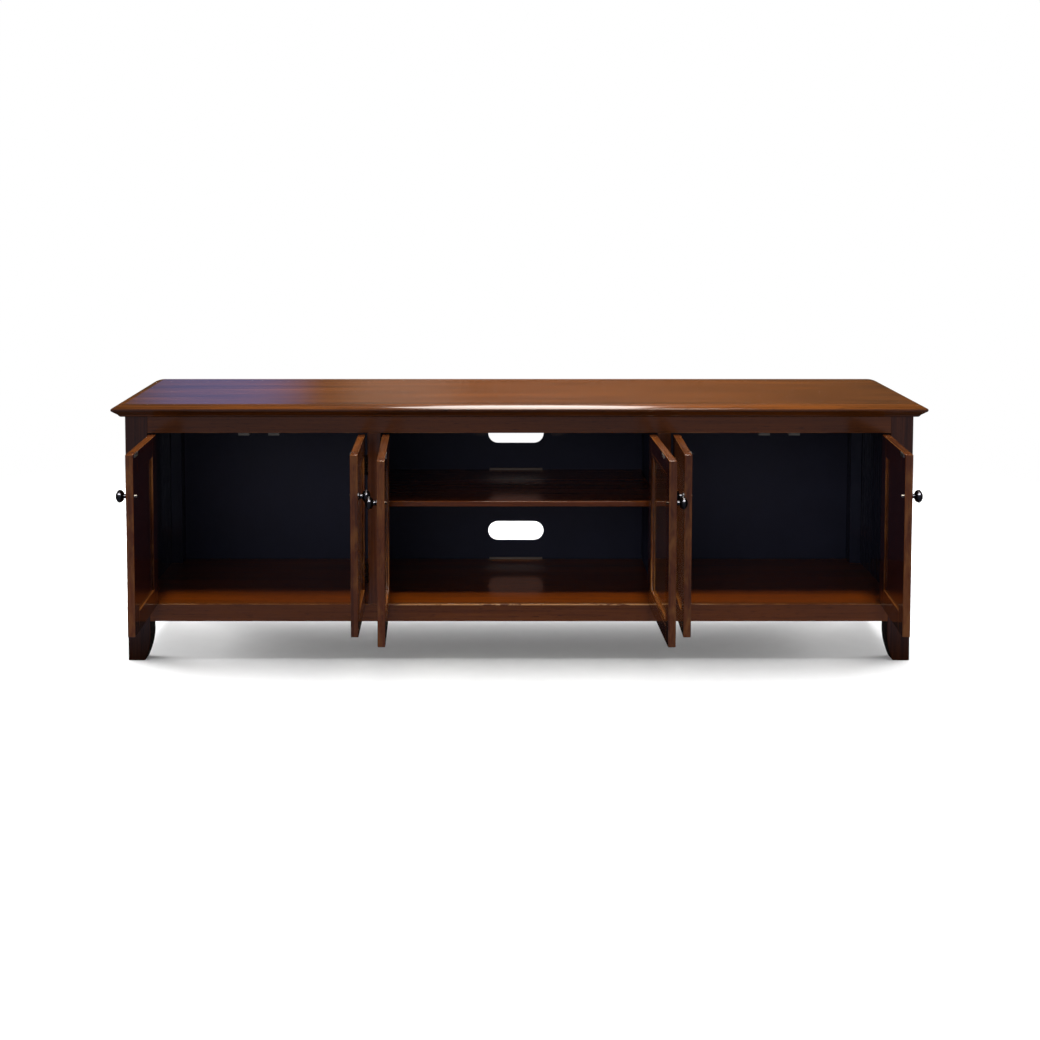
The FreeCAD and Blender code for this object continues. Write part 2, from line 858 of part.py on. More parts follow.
top_panel()
for side, side_name in zip(SIDES, ("left", "right")):
    for end, end_name in zip(SIDES, ("front", "rear")):
        leg(f"{end_name}_{side_name}_leg", side, end)
    side_panel(f"{side_name}_side_panel", side)
    divider(f"{side_name}_divider", side)
    divider_stile(f"{side_name}_divider_stile", side)

socket = size["tenon_stub"] + size["tenon_play"]
front_seat = box(between_legs, (rail_back - size["floor_seat"], rail_back), floor_span)
rear_seat = box(between_legs, (rear_rail_front, rear_rail_front + size["floor_seat"]), floor_span)
rail("top_front_rail", front_rail_deep, top_rail_span, stile_mortises((head_level, head_level + socket)))
rail("bottom_front_rail", front_rail_deep, bottom_rail_span,
     stile_mortises((floor_level - socket, floor_level)) + [front_seat])
rail("top_rear_rail", rear_rail_deep, top_rail_span, rear_rail_holes(top_rail_span))
rail("bottom_rear_rail", rear_rail_deep, bottom_rail_span, rear_rail_holes(bottom_rail_span) + [rear_seat])
bottom_panel()
for label, x in back_panels():
    back_panel(label, x)
media_shelf()
cable_slot_stops()
shelf_pins()
cleats("floor_cleats", floor_span[0], {sign: [] for sign in SIDES})
cleats("top_cleats", leg_height, {
    sign: [spot for spot in top_screw_places() if spot[0].value * sign > 0] for sign in SIDES
})
top_screws()
back_panel_screws()
magnetic_catches()
frame_hinge_leaves()
for name, hand, pin, width, glazed in DOORS:
    door(name, hand, pin, width, glazed)

doc.recompute()
for item in doc.Objects:
    if "Invalid" in item.State or "Error" in item.State:
        raise RuntimeError(f"{item.Label} failed: {item.State}")
for item in nodes:
    if item.Shape.isNull() or not item.Shape.isValid():
        raise RuntimeError(f"{item.Label} has no valid shape")

os.makedirs("parts", exist_ok=True)
for item in nodes:
    item.Shape.exportStep(f"parts/{item.Label}.step")
    print(f"{item.Label}: {len(item.Shape.Solids)} solids, {item.Shape.Volume:.0f} mm3")
print(f"{len(nodes)} sub-parts")
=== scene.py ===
# %% [markdown]
# # Dressing a low television stand
# The construction of this stand comes from a CAD model: legs, rails, boards, six hinged doors and their
# fittings, all in place and at real size. This lesson gives those pieces the looks of the real object: dark
# chestnut stain under satin lacquer, near-black boards, glass, black nickel and plated steel. Nothing is
# moved. The first step loads the model.

# %% Load the frame
import json
import math

import bmesh
import bpy
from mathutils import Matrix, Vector

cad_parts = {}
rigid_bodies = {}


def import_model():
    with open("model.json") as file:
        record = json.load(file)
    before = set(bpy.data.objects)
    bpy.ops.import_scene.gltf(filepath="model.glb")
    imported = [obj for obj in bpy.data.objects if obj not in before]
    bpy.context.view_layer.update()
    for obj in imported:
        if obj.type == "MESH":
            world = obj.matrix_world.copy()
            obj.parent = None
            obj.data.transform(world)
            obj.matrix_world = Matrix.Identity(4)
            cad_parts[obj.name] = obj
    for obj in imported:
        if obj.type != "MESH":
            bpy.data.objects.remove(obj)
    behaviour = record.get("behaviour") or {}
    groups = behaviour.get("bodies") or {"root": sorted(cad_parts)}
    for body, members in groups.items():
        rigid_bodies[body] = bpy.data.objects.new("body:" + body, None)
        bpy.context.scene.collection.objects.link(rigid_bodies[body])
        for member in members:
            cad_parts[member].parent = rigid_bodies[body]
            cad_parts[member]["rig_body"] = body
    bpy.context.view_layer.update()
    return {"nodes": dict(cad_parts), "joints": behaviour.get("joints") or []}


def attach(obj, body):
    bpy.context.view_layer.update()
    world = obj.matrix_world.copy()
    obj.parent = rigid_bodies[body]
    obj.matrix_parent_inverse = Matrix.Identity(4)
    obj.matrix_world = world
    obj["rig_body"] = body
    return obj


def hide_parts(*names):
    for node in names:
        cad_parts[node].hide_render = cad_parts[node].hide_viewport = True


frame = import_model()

nodes = frame["nodes"]
MM = 0.001

# %% [markdown]
# ## Colours and nodes
# Colours are picked as sRGB hex values, as in any paint program, but shaders work on linear light, so one
# function turns the first into the second. Node trees can be built by hand in the editor or in code. Code
# is easier to read if one small function adds a node, sets its options, and fills or links its inputs.

# %% Helpers for colours and node trees
def linear(hex_code):
    """An sRGB hex colour as linear red, green, blue and alpha, by the curve of the sRGB standard."""
    parts = [int(hex_code[place:place + 2], 16) / 255 for place in (1, 3, 5)]
    return (*[part / 12.92 if part <= 0.04045 else ((part + 0.055) / 1.055) ** 2.4 for part in parts], 1)


def add(tree, kind, inputs=(), **options):
    """Add a node with its options. Each input is a socket to link or a value to set."""
    node = tree.nodes.new(kind)
    for name, value in options.items():
        setattr(node, name, value)
    fill(tree, node, inputs)
    return node


def fill(tree, node, inputs):
    """Set or link the inputs of a node, named by their label or their place."""
    for key, value in dict(inputs).items():
        if isinstance(value, bpy.types.NodeSocket):
            tree.links.new(value, node.inputs[key])
        else:
            node.inputs[key].default_value = value


def finish_named(name):
    """A new material, with its node tree, its shader and the coordinates of the piece."""
    material = bpy.data.materials.new(name)
    material.use_nodes = True
    tree = material.node_tree
    where = add(tree, "ShaderNodeTexCoord").outputs["Object"]
    return material, tree, tree.nodes["Principled BSDF"], where


# Places of the colour sockets on a Mix node.
FACTOR, FIRST, SECOND, MIXED = 0, 6, 7, 2


def tones(dark, pale):
    """Inputs for the two colours that a Mix node blends."""
    return {FIRST: linear(dark), SECOND: linear(pale)}


def spread(low, high):
    """Inputs for the ends of what a Map Range node takes in."""
    return {"From Min": low, "From Max": high}


print("A mid brown in linear light:", [round(part, 3) for part in linear("#7b4824")])

# %% [markdown]
# ## Grain
# Streaks, fine lines, pores and the rings of raw wood all run along the grain, so they are one pattern at
# different sizes. A picture of wood could be wrapped on, but noise that is drawn out along one axis has no
# seams and can follow each member: uprights have upright grain, rails and the top have level grain.

# %% Noise drawn out along the grain
GRAIN_ROUGHNESS = 0.62
GRAIN_WAVER = 0.35
# Length along the grain and width across it in millimetres, and levels of detail.
STREAK = (900, 46, 4)
LINE = (260, 5.5, 3)
# Real pores are a third of this width; they are drawn wider so that they show.
PORE = (26, 1.6, 1)


def along_grain(tree, where, grain, size):
    """Noise whose spots are drawn out along axis 0, 1 or 2 to a real size."""
    long_mm, wide_mm, detail = size
    per_metre = [1 / (wide_mm * MM)] * 3
    per_metre[grain] = 1 / (long_mm * MM)
    turned = add(tree, "ShaderNodeMapping", {"Vector": where, "Scale": per_metre})
    noise = add(tree, "ShaderNodeTexNoise", {
        "Vector": turned.outputs[0], "Scale": 1, "Detail": detail,
        "Roughness": GRAIN_ROUGHNESS, "Distortion": GRAIN_WAVER,
    })
    return noise.outputs[0]


print("Streaks, lines and pores, long and wide in mm:", STREAK[:2], LINE[:2], PORE[:2])

# %% [markdown]
# ## Finishes that change with the place
# Some pieces have two finishes. A leg is stained, but near black where it stands inside a bay, a painted
# shade of the dark bay, and a back board is painted in front and bare behind. Faces could be sorted and
# given two materials, but some lie on both sides of the border, so a test on the coordinates draws it.

# %% A test for a box
# Middle and half length of the room inside the bays, along each axis in metres.
BAY_ROOM = ((0, 0.8652), (0.0213, 0.1713), (0.345, 0.215))


def inside(tree, where, room):
    """One for points inside a box, and zero for all others."""
    axes = add(tree, "ShaderNodeSeparateXYZ", {0: where}).outputs
    within = [
        add(tree, "ShaderNodeMath", {0: axis, 1: middle, 2: half}, operation="COMPARE").outputs[0]
        for axis, (middle, half) in zip(axes, room)
    ]
    level = add(tree, "ShaderNodeMath", {0: within[0], 1: within[1]}, operation="MULTIPLY")
    return add(tree, "ShaderNodeMath", {0: level.outputs[0], 1: within[2]}, operation="MULTIPLY").outputs[0]


print("Room inside the bays, in metres:", [round(2 * half, 3) for _, half in BAY_ROOM])

# %% [markdown]
# ## Dark chestnut stain on birch
# The visible wood is birch, stained dark and sprayed with satin lacquer. The stain sinks deeper into soft
# streaks, so long light and dark bands follow the grain, with finer lines and pores in them. Lacquer over
# stain is a coat with a shine of its own. On arrises and handled edges the stain is worn thin, so an
# attribute that the rounding step writes lightens them; the same attribute carries a painted highlight on
# the sill. A second attribute marks the backs of the doors, which get darker, redder tones as painted
# shade. Feet get darker towards the floor, a painted shade, and legs and sides are near black inside the
# bays, a painted shade too. All this could be separate materials, but as layers in one tree they share
# one grain.

# %% Worn edges, the painted highlight on the sill and painted shade on the feet
# Attribute for worn edges, which also carries the painted highlight on the sill.
WEAR_AND_GLINT = "edge_wear_and_glint"
RUBBED_PATCH = (66, 22, 3)
RUB_SPREAD = (0.42, 0.66)
RUB_MOST = 0.6
# Heights in metres between which the painted shade on a foot fades out, and how strong it is.
FOOT_SHADE_FADE = (0.05, 0.14)
FOOT_SHADE_MOST = 0.45


def wear_and_sill_glint(tree, where, grain):
    """How far an edge takes its pale tone: worn in patches, and a painted highlight on the sill."""
    edges = add(tree, "ShaderNodeAttribute", attribute_name=WEAR_AND_GLINT)
    patches = along_grain(tree, where, grain, RUBBED_PATCH)
    rub = add(tree, "ShaderNodeMapRange", {"Value": patches, **spread(*RUB_SPREAD), "To Max": RUB_MOST})
    worn = add(tree, "ShaderNodeMath", {0: edges.outputs["Fac"], 1: rub.outputs[0]}, operation="MULTIPLY")
    return worn.outputs[0]


def foot_shade(tree, where):
    """How far a foot is darkened as painted shade, most at the floor."""
    level = add(tree, "ShaderNodeSeparateXYZ", {0: where}).outputs["Z"]
    return add(tree, "ShaderNodeMapRange", {
        "Value": level, **spread(*FOOT_SHADE_FADE), "To Min": FOOT_SHADE_MOST, "To Max": 0,
    }).outputs[0]


# Where the painted shade on the feet ends.
print("Scuffs end", FOOT_SHADE_FADE[1], "m above the floor")

# %% Stained birch
BACK_SHADE = "door_back_shade"
# Darker, redder tones painted on the backs of the doors as painted shade.
BACK_SHADE_TONES = ("#34110b", "#531e14")
# Near-black paint of the back boards, which is also the painted shade inside the bays on legs and sides.
BLACK_PAINT_AND_SHADE = ("#232738", "#33374d")
PORE_FILLER = "#1c0d07"
FOOT_SHADE = "#1a0b0a"
STAIN_SPREAD = (0.76, 1.24)
PORE_SPREAD = (0.6, 0.74)
PORE_MOST = 0.55


def stained_birch(name, grain, deep, pale, edge_tone, shade_inside_bays=False):
    """Stained wood with its grain along axis 0, 1 or 2. The eye gets streaks, pores and a clear gloss."""
    material, tree, shader, where = finish_named(name)
    streaks, lines, pores = [along_grain(tree, where, grain, size) for size in (STREAK, LINE, PORE)]
    both = add(tree, "ShaderNodeMath", {0: streaks, 1: lines}, operation="ADD")
    depth = add(tree, "ShaderNodeMapRange", {"Value": both.outputs[0], **spread(*STAIN_SPREAD)}).outputs[0]
    open_pores = add(tree, "ShaderNodeMapRange", {
        "Value": pores, **spread(*PORE_SPREAD), "To Max": PORE_MOST,
    }).outputs[0]
    stain, red = [
        add(tree, "ShaderNodeMix", {FACTOR: depth, **tones(*pair)}, data_type="RGBA").outputs[MIXED]
        for pair in ((deep, pale), BACK_SHADE_TONES)
    ]
    behind = add(tree, "ShaderNodeAttribute", attribute_name=BACK_SHADE)

    # How far each layer covers those before it, and its colour.
    layers = [
        (open_pores, linear(PORE_FILLER)),
        # Worn edges, and on the sill a painted highlight, in the edge tone.
        (wear_and_sill_glint(tree, where, grain), linear(edge_tone)),
        # The backs of the doors get their painted shade.
        (behind.outputs["Fac"], red),
    ]
    # Inside the bays, legs and sides take near-black as painted shade, and feet darken towards the floor as
    # painted shade.
    if shade_inside_bays:
        paint = add(tree, "ShaderNodeMix", {FACTOR: streaks, **tones(*BLACK_PAINT_AND_SHADE)}, data_type="RGBA")
        layers += [
            (foot_shade(tree, where), linear(FOOT_SHADE)),
            (inside(tree, where, BAY_ROOM), paint.outputs[MIXED]),
        ]
    colour = stain
    for cover, over in layers:
        colour = add(tree, "ShaderNodeMix", {
            FACTOR: cover, FIRST: colour, SECOND: over,
        }, data_type="RGBA").outputs[MIXED]

    gloss = add(tree, "ShaderNodeMapRange", {"Value": lines, "To Min": 0.28, "To Max": 0.44})
    height = add(tree, "ShaderNodeMath", {0: lines, 1: open_pores}, operation="SUBTRACT")
    relief = add(tree, "ShaderNodeBump", {
        "Strength": 0.16, "Distance": 0.3 * MM, "Height": height.outputs[0],
    })
    fill(tree, shader, {
        "Base Color": colour, "Roughness": gloss.outputs[0], "Normal": relief.outputs[0],
        "Specular IOR Level": 0.05, "Coat Weight": 1, "Coat Roughness": 0.11,
    })
    return material


# Name, axis of the grain, deep and pale stain, and the tone of worn edges. Rails are quieter than the top,
# and their paler edge tone also draws the painted highlight on the sill; the floor of the bays is more
# golden.
ACROSS, DEEP, UPRIGHT, BOARD_WOOD, FLOOR_WOOD, RAIL_WOOD = [stained_birch(*row) for row in (
    ("chestnut_stained_birch_across", 0, "#43210b", "#7c4417", "#9a6430"),
    ("chestnut_stained_birch_deep", 1, "#43210b", "#7c4417", "#9a6430"),
    ("chestnut_stained_birch_upright", 2, "#4a250e", "#713b18", "#9a6430"),
    ("chestnut_stained_birch_board", 0, "#5b2b08", "#78390a", "#985a2a"),
    ("golden_stained_birch_floor", 0, "#622f05", "#823e06", "#985a2a"),
    ("chestnut_stained_birch_rail", 0, "#582e0e", "#6e3b12", "#b8834f"),
)]
# Legs take a darker copy of the stain, a painted shade; legs and sides also get the near-black inside the
# bays.
LEG_WOOD, SIDE_WOOD = [stained_birch(*row, shade_inside_bays=True) for row in (
    ("dark_stained_birch_leg", 2, "#2e150a", "#542b13", "#7a4522"),
    ("chestnut_stained_birch_side", 2, "#43200d", "#7c4119", "#985a2a"),
)]
print("Stained woods:", [material.name for material in bpy.data.materials if "birch" in material.name])

# %% [markdown]
# ## Black paint on fibreboard
# Back boards and dividers are thin fibreboard, sprayed near-black: even, faintly blue and dull, with a
# slight mottle. Nobody sees what faces the wall, so the rear is left bare and brown. A flat colour would
# look like a drawing, so slow noise clouds the paint and fine noise gives it the grit of spray.

# %% Painted fibreboard
MOTTLE = 90 * MM
GRIT = 2.5 * MM
# Everything before the middle of the back boards' thickness.
IN_FRONT = ((0, 1), (0, 0.195), (0.3, 0.3))
BARE_BOARD = ("#26211d", "#39322c")


def painted_fibreboard():
    """Sprayed black paint on fibreboard, even and dull with a faint cloudy mottle, and a bare rear."""
    material, tree, shader, where = finish_named("black_painted_fibreboard")
    cloud = add(tree, "ShaderNodeTexNoise", {"Vector": where, "Scale": 1 / MOTTLE, "Detail": 4})
    grit = add(tree, "ShaderNodeTexNoise", {"Vector": where, "Scale": 1 / GRIT, "Detail": 2})
    paint, bare = [
        add(tree, "ShaderNodeMix", {FACTOR: cloud.outputs[0], **tones(*pair)}, data_type="RGBA")
        for pair in (BLACK_PAINT_AND_SHADE, BARE_BOARD)
    ]
    faces = add(tree, "ShaderNodeMix", {
        FACTOR: inside(tree, where, IN_FRONT), FIRST: bare.outputs[MIXED], SECOND: paint.outputs[MIXED],
    }, data_type="RGBA")
    sheen = add(tree, "ShaderNodeMapRange", {"Value": cloud.outputs[0], "To Min": 0.42, "To Max": 0.62})
    relief = add(tree, "ShaderNodeBump", {
        "Strength": 0.1, "Distance": 0.2 * MM, "Height": grit.outputs[0],
    })
    fill(tree, shader, {
        "Base Color": faces.outputs[MIXED], "Roughness": sheen.outputs[0], "Normal": relief.outputs[0],
    })
    return material


BLACK_BOARD = painted_fibreboard()
print(BLACK_BOARD.name, "has", len(BLACK_BOARD.node_tree.nodes), "nodes")

# %% [markdown]
# ## Raw softwood
# The battens under the top and the floor are sawn spruce that nobody stained: pale, dry, with clear rings.
# The slim strips under the cable slots are pale grey, a painted line of the light that falls in through the
# slots. The rings are the same drawn-out noise as the grain of the birch, but without lacquer over it.

# %% Raw softwood
RINGS = (400, 4, 2)


def raw_softwood(name, grain, dark, pale):
    """Sawn spruce without lacquer: clear rings and a dry, rough face."""
    material, tree, shader, where = finish_named(name)
    rings = along_grain(tree, where, grain, RINGS)
    wood = add(tree, "ShaderNodeMix", {FACTOR: rings, **tones(dark, pale)}, data_type="RGBA")
    relief = add(tree, "ShaderNodeBump", {"Strength": 0.3, "Distance": 0.4 * MM, "Height": rings})
    fill(tree, shader, {"Base Color": wood.outputs[MIXED], "Roughness": 0.75, "Normal": relief.outputs[0]})
    return material


SPRUCE = raw_softwood("sawn_spruce", 1, "#a9814f", "#d3b483")
# The strips under the cable slots are pale, a painted line of the light that falls through the slots.
SLOT_LIGHT_SPRUCE = raw_softwood("pale_spruce_slot_light", 0, "#857b77", "#a0958f")
print("Softwood:", SPRUCE.name, SLOT_LIGHT_SPRUCE.name)

# %% [markdown]
# ## Float glass
# The panes of the middle doors are clear float glass, faintly green, which mirrors at a low angle. They
# have their real thickness, so a shader that bends light is right for them. It would also throw a dark
# shadow, because bent light rarely finds a lamp, so rays that look for a lamp pass straight through.

# %% Float glass
GLASS_TINT = "#eef7f2"


def float_glass():
    """Clear float glass. It mirrors at a low angle and tints faintly green; a shadow ray passes through."""
    material, tree, shader, _ = finish_named("clear_float_glass")
    fill(tree, shader, {
        "Base Color": linear(GLASS_TINT), "Roughness": 0.02, "IOR": 1.5, "Transmission Weight": 1,
    })
    clear = add(tree, "ShaderNodeBsdfTransparent", {"Color": linear(GLASS_TINT)})
    path = add(tree, "ShaderNodeLightPath")
    light = add(tree, "ShaderNodeMixShader", {
        0: path.outputs["Is Shadow Ray"], 1: shader.outputs[0], 2: clear.outputs[0],
    })
    fill(tree, tree.nodes["Material Output"], {"Surface": light.outputs[0]})
    return material


GLASS = float_glass()
print("Glass:", GLASS.name)

# %% [markdown]
# ## Black nickel, plated steel and plastic
# Knobs are turned and finished in polished black nickel, almost black with sharp white glints. Hinges,
# plates and screws are nickel-plated steel, bright on the outer doors; on the four inner doors they are
# darkened, a painted shade of the narrow space between the doors.
# The catches are moulded acetal, pale grey in the outer bays and dark brown in the middle one. Noise varies
# each finish a little, as handling does. An image could too, but noise needs no unwrapping.

# %% Metals
# Room around the hinges and knob screws of the four inner doors, whose nickel is darkened as a painted
# shade.
INNER_DOOR_SHADE_ROOM = ((0, 0.5), (0, 1), (0.25, 0.25))
SHADED_NICKEL = "#473d35"
DULLER = 0.1
SHINIER = 0.08


def metal(name, dull, bright, blotch_mm, rough, shade_inner_doors=False):
    """A metal finish in two tones. The blotches dull the shine here and there, as handling does."""
    material, tree, shader, where = finish_named(name)
    blotch = add(tree, "ShaderNodeTexNoise", {"Vector": where, "Scale": 1 / (blotch_mm * MM), "Detail": 4})
    tone = add(tree, "ShaderNodeMix", {FACTOR: blotch.outputs[0], **tones(dull, bright)}, data_type="RGBA")
    # On the four inner doors the nickel is darkened, a painted shade.
    if shade_inner_doors:
        black = inside(tree, where, INNER_DOOR_SHADE_ROOM)
        tone = add(tree, "ShaderNodeMix", {
            FACTOR: black, FIRST: tone.outputs[MIXED], SECOND: linear(SHADED_NICKEL),
        }, data_type="RGBA")
    shine = add(tree, "ShaderNodeMapRange", {
        "Value": blotch.outputs[0], "To Min": rough + DULLER, "To Max": rough - SHINIER,
    })
    fill(tree, shader, {"Base Color": tone.outputs[MIXED], "Roughness": shine.outputs[0], "Metallic": 1})
    return material


BLACK_NICKEL = metal("polished_black_nickel", "#2b2b2d", "#48474a", blotch_mm=6, rough=0.21)
NICKEL = metal("nickel_plated_steel", "#a9a59c", "#d8d4ca", blotch_mm=4, rough=0.27, shade_inner_doors=True)
print("Metals:", BLACK_NICKEL.name, NICKEL.name)

# %% Moulded plastic
MIDDLE_BAY = 0.3
SPARK = 0.8 * MM
PALE_ACETAL = ("#7d7c78", "#969590")
BROWN_ACETAL = "#24150e"


def moulded_plastic():
    """Moulded acetal, slightly waxy: pale grey in the outer bays and dark brown in the middle one."""
    material, tree, shader, where = finish_named("moulded_acetal")
    spark = add(tree, "ShaderNodeTexNoise", {"Vector": where, "Scale": 1 / SPARK, "Detail": 2})
    tone = add(tree, "ShaderNodeMix", {FACTOR: spark.outputs[0], **tones(*PALE_ACETAL)}, data_type="RGBA")
    across = add(tree, "ShaderNodeSeparateXYZ", {0: where}).outputs["X"]
    in_middle = add(tree, "ShaderNodeMath", {0: across, 1: 0, 2: MIDDLE_BAY}, operation="COMPARE")
    moulded = add(tree, "ShaderNodeMix", {
        FACTOR: in_middle.outputs[0], FIRST: tone.outputs[MIXED], SECOND: linear(BROWN_ACETAL),
    }, data_type="RGBA")
    relief = add(tree, "ShaderNodeBump", {
        "Strength": 0.2, "Distance": 0.1 * MM, "Height": spark.outputs[0],
    })
    fill(tree, shader, {
        "Base Color": moulded.outputs[MIXED], "Roughness": 0.45, "Normal": relief.outputs[0],
    })
    return material


ACETAL = moulded_plastic()
print("Plastic:", ACETAL.name)

# %% [markdown]
# ## A finish for every CAD piece
# Most pieces already have their final shape, so they keep it and only get a material. The end of a piece's
# name says what it is. Grain follows the member: level across the stand for the top, rails and boards that
# run sideways, upright for legs, stiles and panels, and front to back for the rails of the open doors.

# %% Materials on the CAD pieces
FINISH_BY_ENDING = {
    "_leg": LEG_WOOD, "_side_panel": SIDE_WOOD, "_rail": RAIL_WOOD, "_door_rails": DEEP,
    "_stile": UPRIGHT, "_stiles": UPRIGHT, "_door_panel": UPRIGHT, "_glass_beads": UPRIGHT,
    "top_panel": ACROSS, "bottom_panel": FLOOR_WOOD, "media_shelf": BOARD_WOOD,
    "_divider": BLACK_BOARD, "_back_panel": BLACK_BOARD,
    "_cleats": SPRUCE, "cable_slot_stops": SLOT_LIGHT_SPRUCE,
    "_glass": GLASS, "_knob": BLACK_NICKEL, "magnetic_catches": ACETAL,
    "_fittings": NICKEL, "_screws": NICKEL, "_leaves": NICKEL, "_pins": NICKEL,
}


def finish_of(node):
    """The finish of a CAD node, by the longest ending that its name has."""
    return FINISH_BY_ENDING[max((end for end in FINISH_BY_ENDING if node.endswith(end)), key=len)]


for name, piece in nodes.items():
    piece.data.materials.clear()
    piece.data.materials.append(finish_of(name))
print(len(nodes), "CAD pieces have a finish")

# %% [markdown]
# ## Where the doors hang
# Every door stands open at its own angle, so small parts on it are placed in the door's own directions:
# along it from the hinge pin, and from its face to its back. They could be read off by hand, but the joint
# knows them: its low limit is the closed door, so the modelled door is turned that far from closed.

# %% Directions of the doors
RIGHT, REARWARD, UP = UNITS = [Vector((1, 0, 0)), Vector((0, 1, 0)), Vector((0, 0, 1))]
ORIGIN = Vector()
DOORS = [joint["child"] for joint in frame["joints"]]


def hanging(joint):
    """Foot of a door's hinge pin, the way along the open door, and the way from its face to its back."""
    hand = -joint["axis"][2]
    angle = math.radians(-joint["range_deg"][0])
    along = Vector((hand * math.cos(angle), -math.sin(angle), 0))
    back = Vector((hand * math.sin(angle), math.cos(angle), 0))
    pin = Vector((*joint["pos_m"][:2], 0))
    return pin, along, back


def span(corners, start, way):
    """How far some corners reach along a direction, from a point."""
    reach = [(corner - start).dot(way) for corner in corners]
    return min(reach), max(reach)


for joint in frame["joints"]:
    print(joint["child"], "stands open", -joint["range_deg"][0], "degrees")

# %% [markdown]
# ## Eased arrises
# A joiner takes the sharp corner off every arris, which is why real edges catch a thin line of light. A
# bevel modifier could do this, but a CAD mesh is loose triangles, so it would round nothing. Here a copy is
# merged, its flat triangles are dissolved into whole faces, and the outward corners are bevelled. One tight
# spot, such as a tenon, makes a bevel shrink everywhere, so short edges stay sharp. On the rails, lines
# between merged faces can also run into an arris, so the faces are first scored beside it. The new faces
# carry the wear that the stain reads. The copy stands for its CAD node, which stays for the motion.

# %% Merge and score
MERGE = 0.005 * MM
SCORE = 3 * MM


def merged(node):
    """A copy of a CAD node's mesh, with its loose triangles joined where they meet."""
    shape = bmesh.new()
    shape.from_mesh(nodes[node].data)
    bmesh.ops.remove_doubles(shape, verts=shape.verts, dist=MERGE)
    return shape


def cut_across(shape, place, way):
    """Cut all faces of a shape along a plane, and give what lies on the cut."""
    whole = [*shape.verts, *shape.edges, *shape.faces]
    return bmesh.ops.bisect_plane(shape, geom=whole, plane_co=way * place, plane_no=way)["geom_cut"]


def score(shape):
    """Score the faces of a rail beside its arrises, so that no line between merged faces meets them."""
    for unit in (REARWARD, UP):
        low, high = span([corner.co for corner in shape.verts], ORIGIN, unit)
        for place in (low + SCORE, high - SCORE):
            for part in cut_across(shape, place, unit):
                if isinstance(part, bmesh.types.BMEdge):
                    part.seam = True


print("Rails are scored", SCORE / MM, "mm from their arrises")

# %% Choose the arrises
CORNER = math.radians(40)
LEANING = 0.9
SIDEWAYS, INWARDS, UPWARDS, ALL_AXES = (0,), (1,), (2,), (0, 1, 2)


def arrises(shape, axes, shortest_mm):
    """The outward corners of a shape that are long enough and run along the given axes."""
    found = []
    for edge in shape.edges:
        run = edge.verts[1].co - edge.verts[0].co
        lined_up = axes == ALL_AXES or any(abs(run[axis]) > LEANING * run.length for axis in axes)
        outward = len(edge.link_faces) == 2 and edge.is_convex and edge.calc_face_angle() > CORNER
        if outward and lined_up and run.length > shortest_mm * MM:
            found.append(edge)
    return found


print("A corner of more than", round(math.degrees(CORNER)), "degrees is an arris")

# %% Mark the doors and smooth the curves
LINED_UP = 0.99
HANDLED = 0.8
SQUARE = 0.9999
CREASE = math.radians(35)


def mark_door(shape, worn, hung):
    """Mark a door's back for painted shade, and rub most of the stain off the closing edge, which hands
    hold.
    """
    _, along, back = hung
    behind = shape.faces.layers.float.new(BACK_SHADE)
    for face in shape.faces:
        face[behind] = float(face.normal.dot(back) > LINED_UP)
        if face.normal.dot(along) > LINED_UP:
            face[worn] = HANDLED


def smooth_curves(shape):
    """Shade curved faces smoothly, and leave a crease where faces meet at a clear angle."""
    for face in shape.faces:
        face.smooth = face.smooth or max(abs(part) for part in face.normal) < SQUARE
    for edge in shape.edges:
        edge.smooth = len(edge.link_faces) == 2 and edge.calc_face_angle() < CREASE


print("Wear of a closing edge:", HANDLED)

# %% Round the arrises of the visible wood
FLAT = math.radians(0.3)
ROUND_STEPS = 3
# Edges longer than this, in millimetres, belong to a whole member and not to a tenon or mortise.
MEMBER = 100


def put(name, data):
    """A new object in the scene."""
    item = bpy.data.objects.new(name, data)
    bpy.context.scene.collection.objects.link(item)
    return item


def stand_in(shape, name, node):
    """Make a piece of a shape. It rides with a CAD node, is shown in its place and has its finish."""
    mesh = bpy.data.meshes.new(name)
    shape.to_mesh(mesh)
    shape.free()
    mesh.materials.append(finish_of(node))
    piece = put(name, mesh)
    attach(piece, nodes[node]["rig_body"])
    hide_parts(node)
    return piece


def eased_copy(node, ease_mm, axes=ALL_AXES, shortest_mm=7, curved=False, scored=False, hung=None):
    """A copy of a CAD node with its outward corners rounded where they run along the given axes."""
    shape = merged(node)
    if scored:
        score(shape)
    bmesh.ops.dissolve_limit(
        shape, angle_limit=FLAT, verts=shape.verts, edges=shape.edges, delimit={"SEAM"})
    # Round a bore, some flat triangles come marked as smooth, which would shade the whole face wrongly.
    for face in shape.faces:
        face.smooth = False
    worn = shape.faces.layers.float.new(WEAR_AND_GLINT)
    rounded = bmesh.ops.bevel(
        shape, geom=arrises(shape, axes, shortest_mm), offset=ease_mm * MM, offset_type="OFFSET",
        segments=ROUND_STEPS, profile=0.5, affect="EDGES", clamp_overlap=True)["faces"]
    for face in rounded:
        face.smooth = True
        face[worn] = 1
    if hung:
        mark_door(shape, worn, hung)
    if curved:
        smooth_curves(shape)
    return stand_in(shape, f"{node}_wood", node)


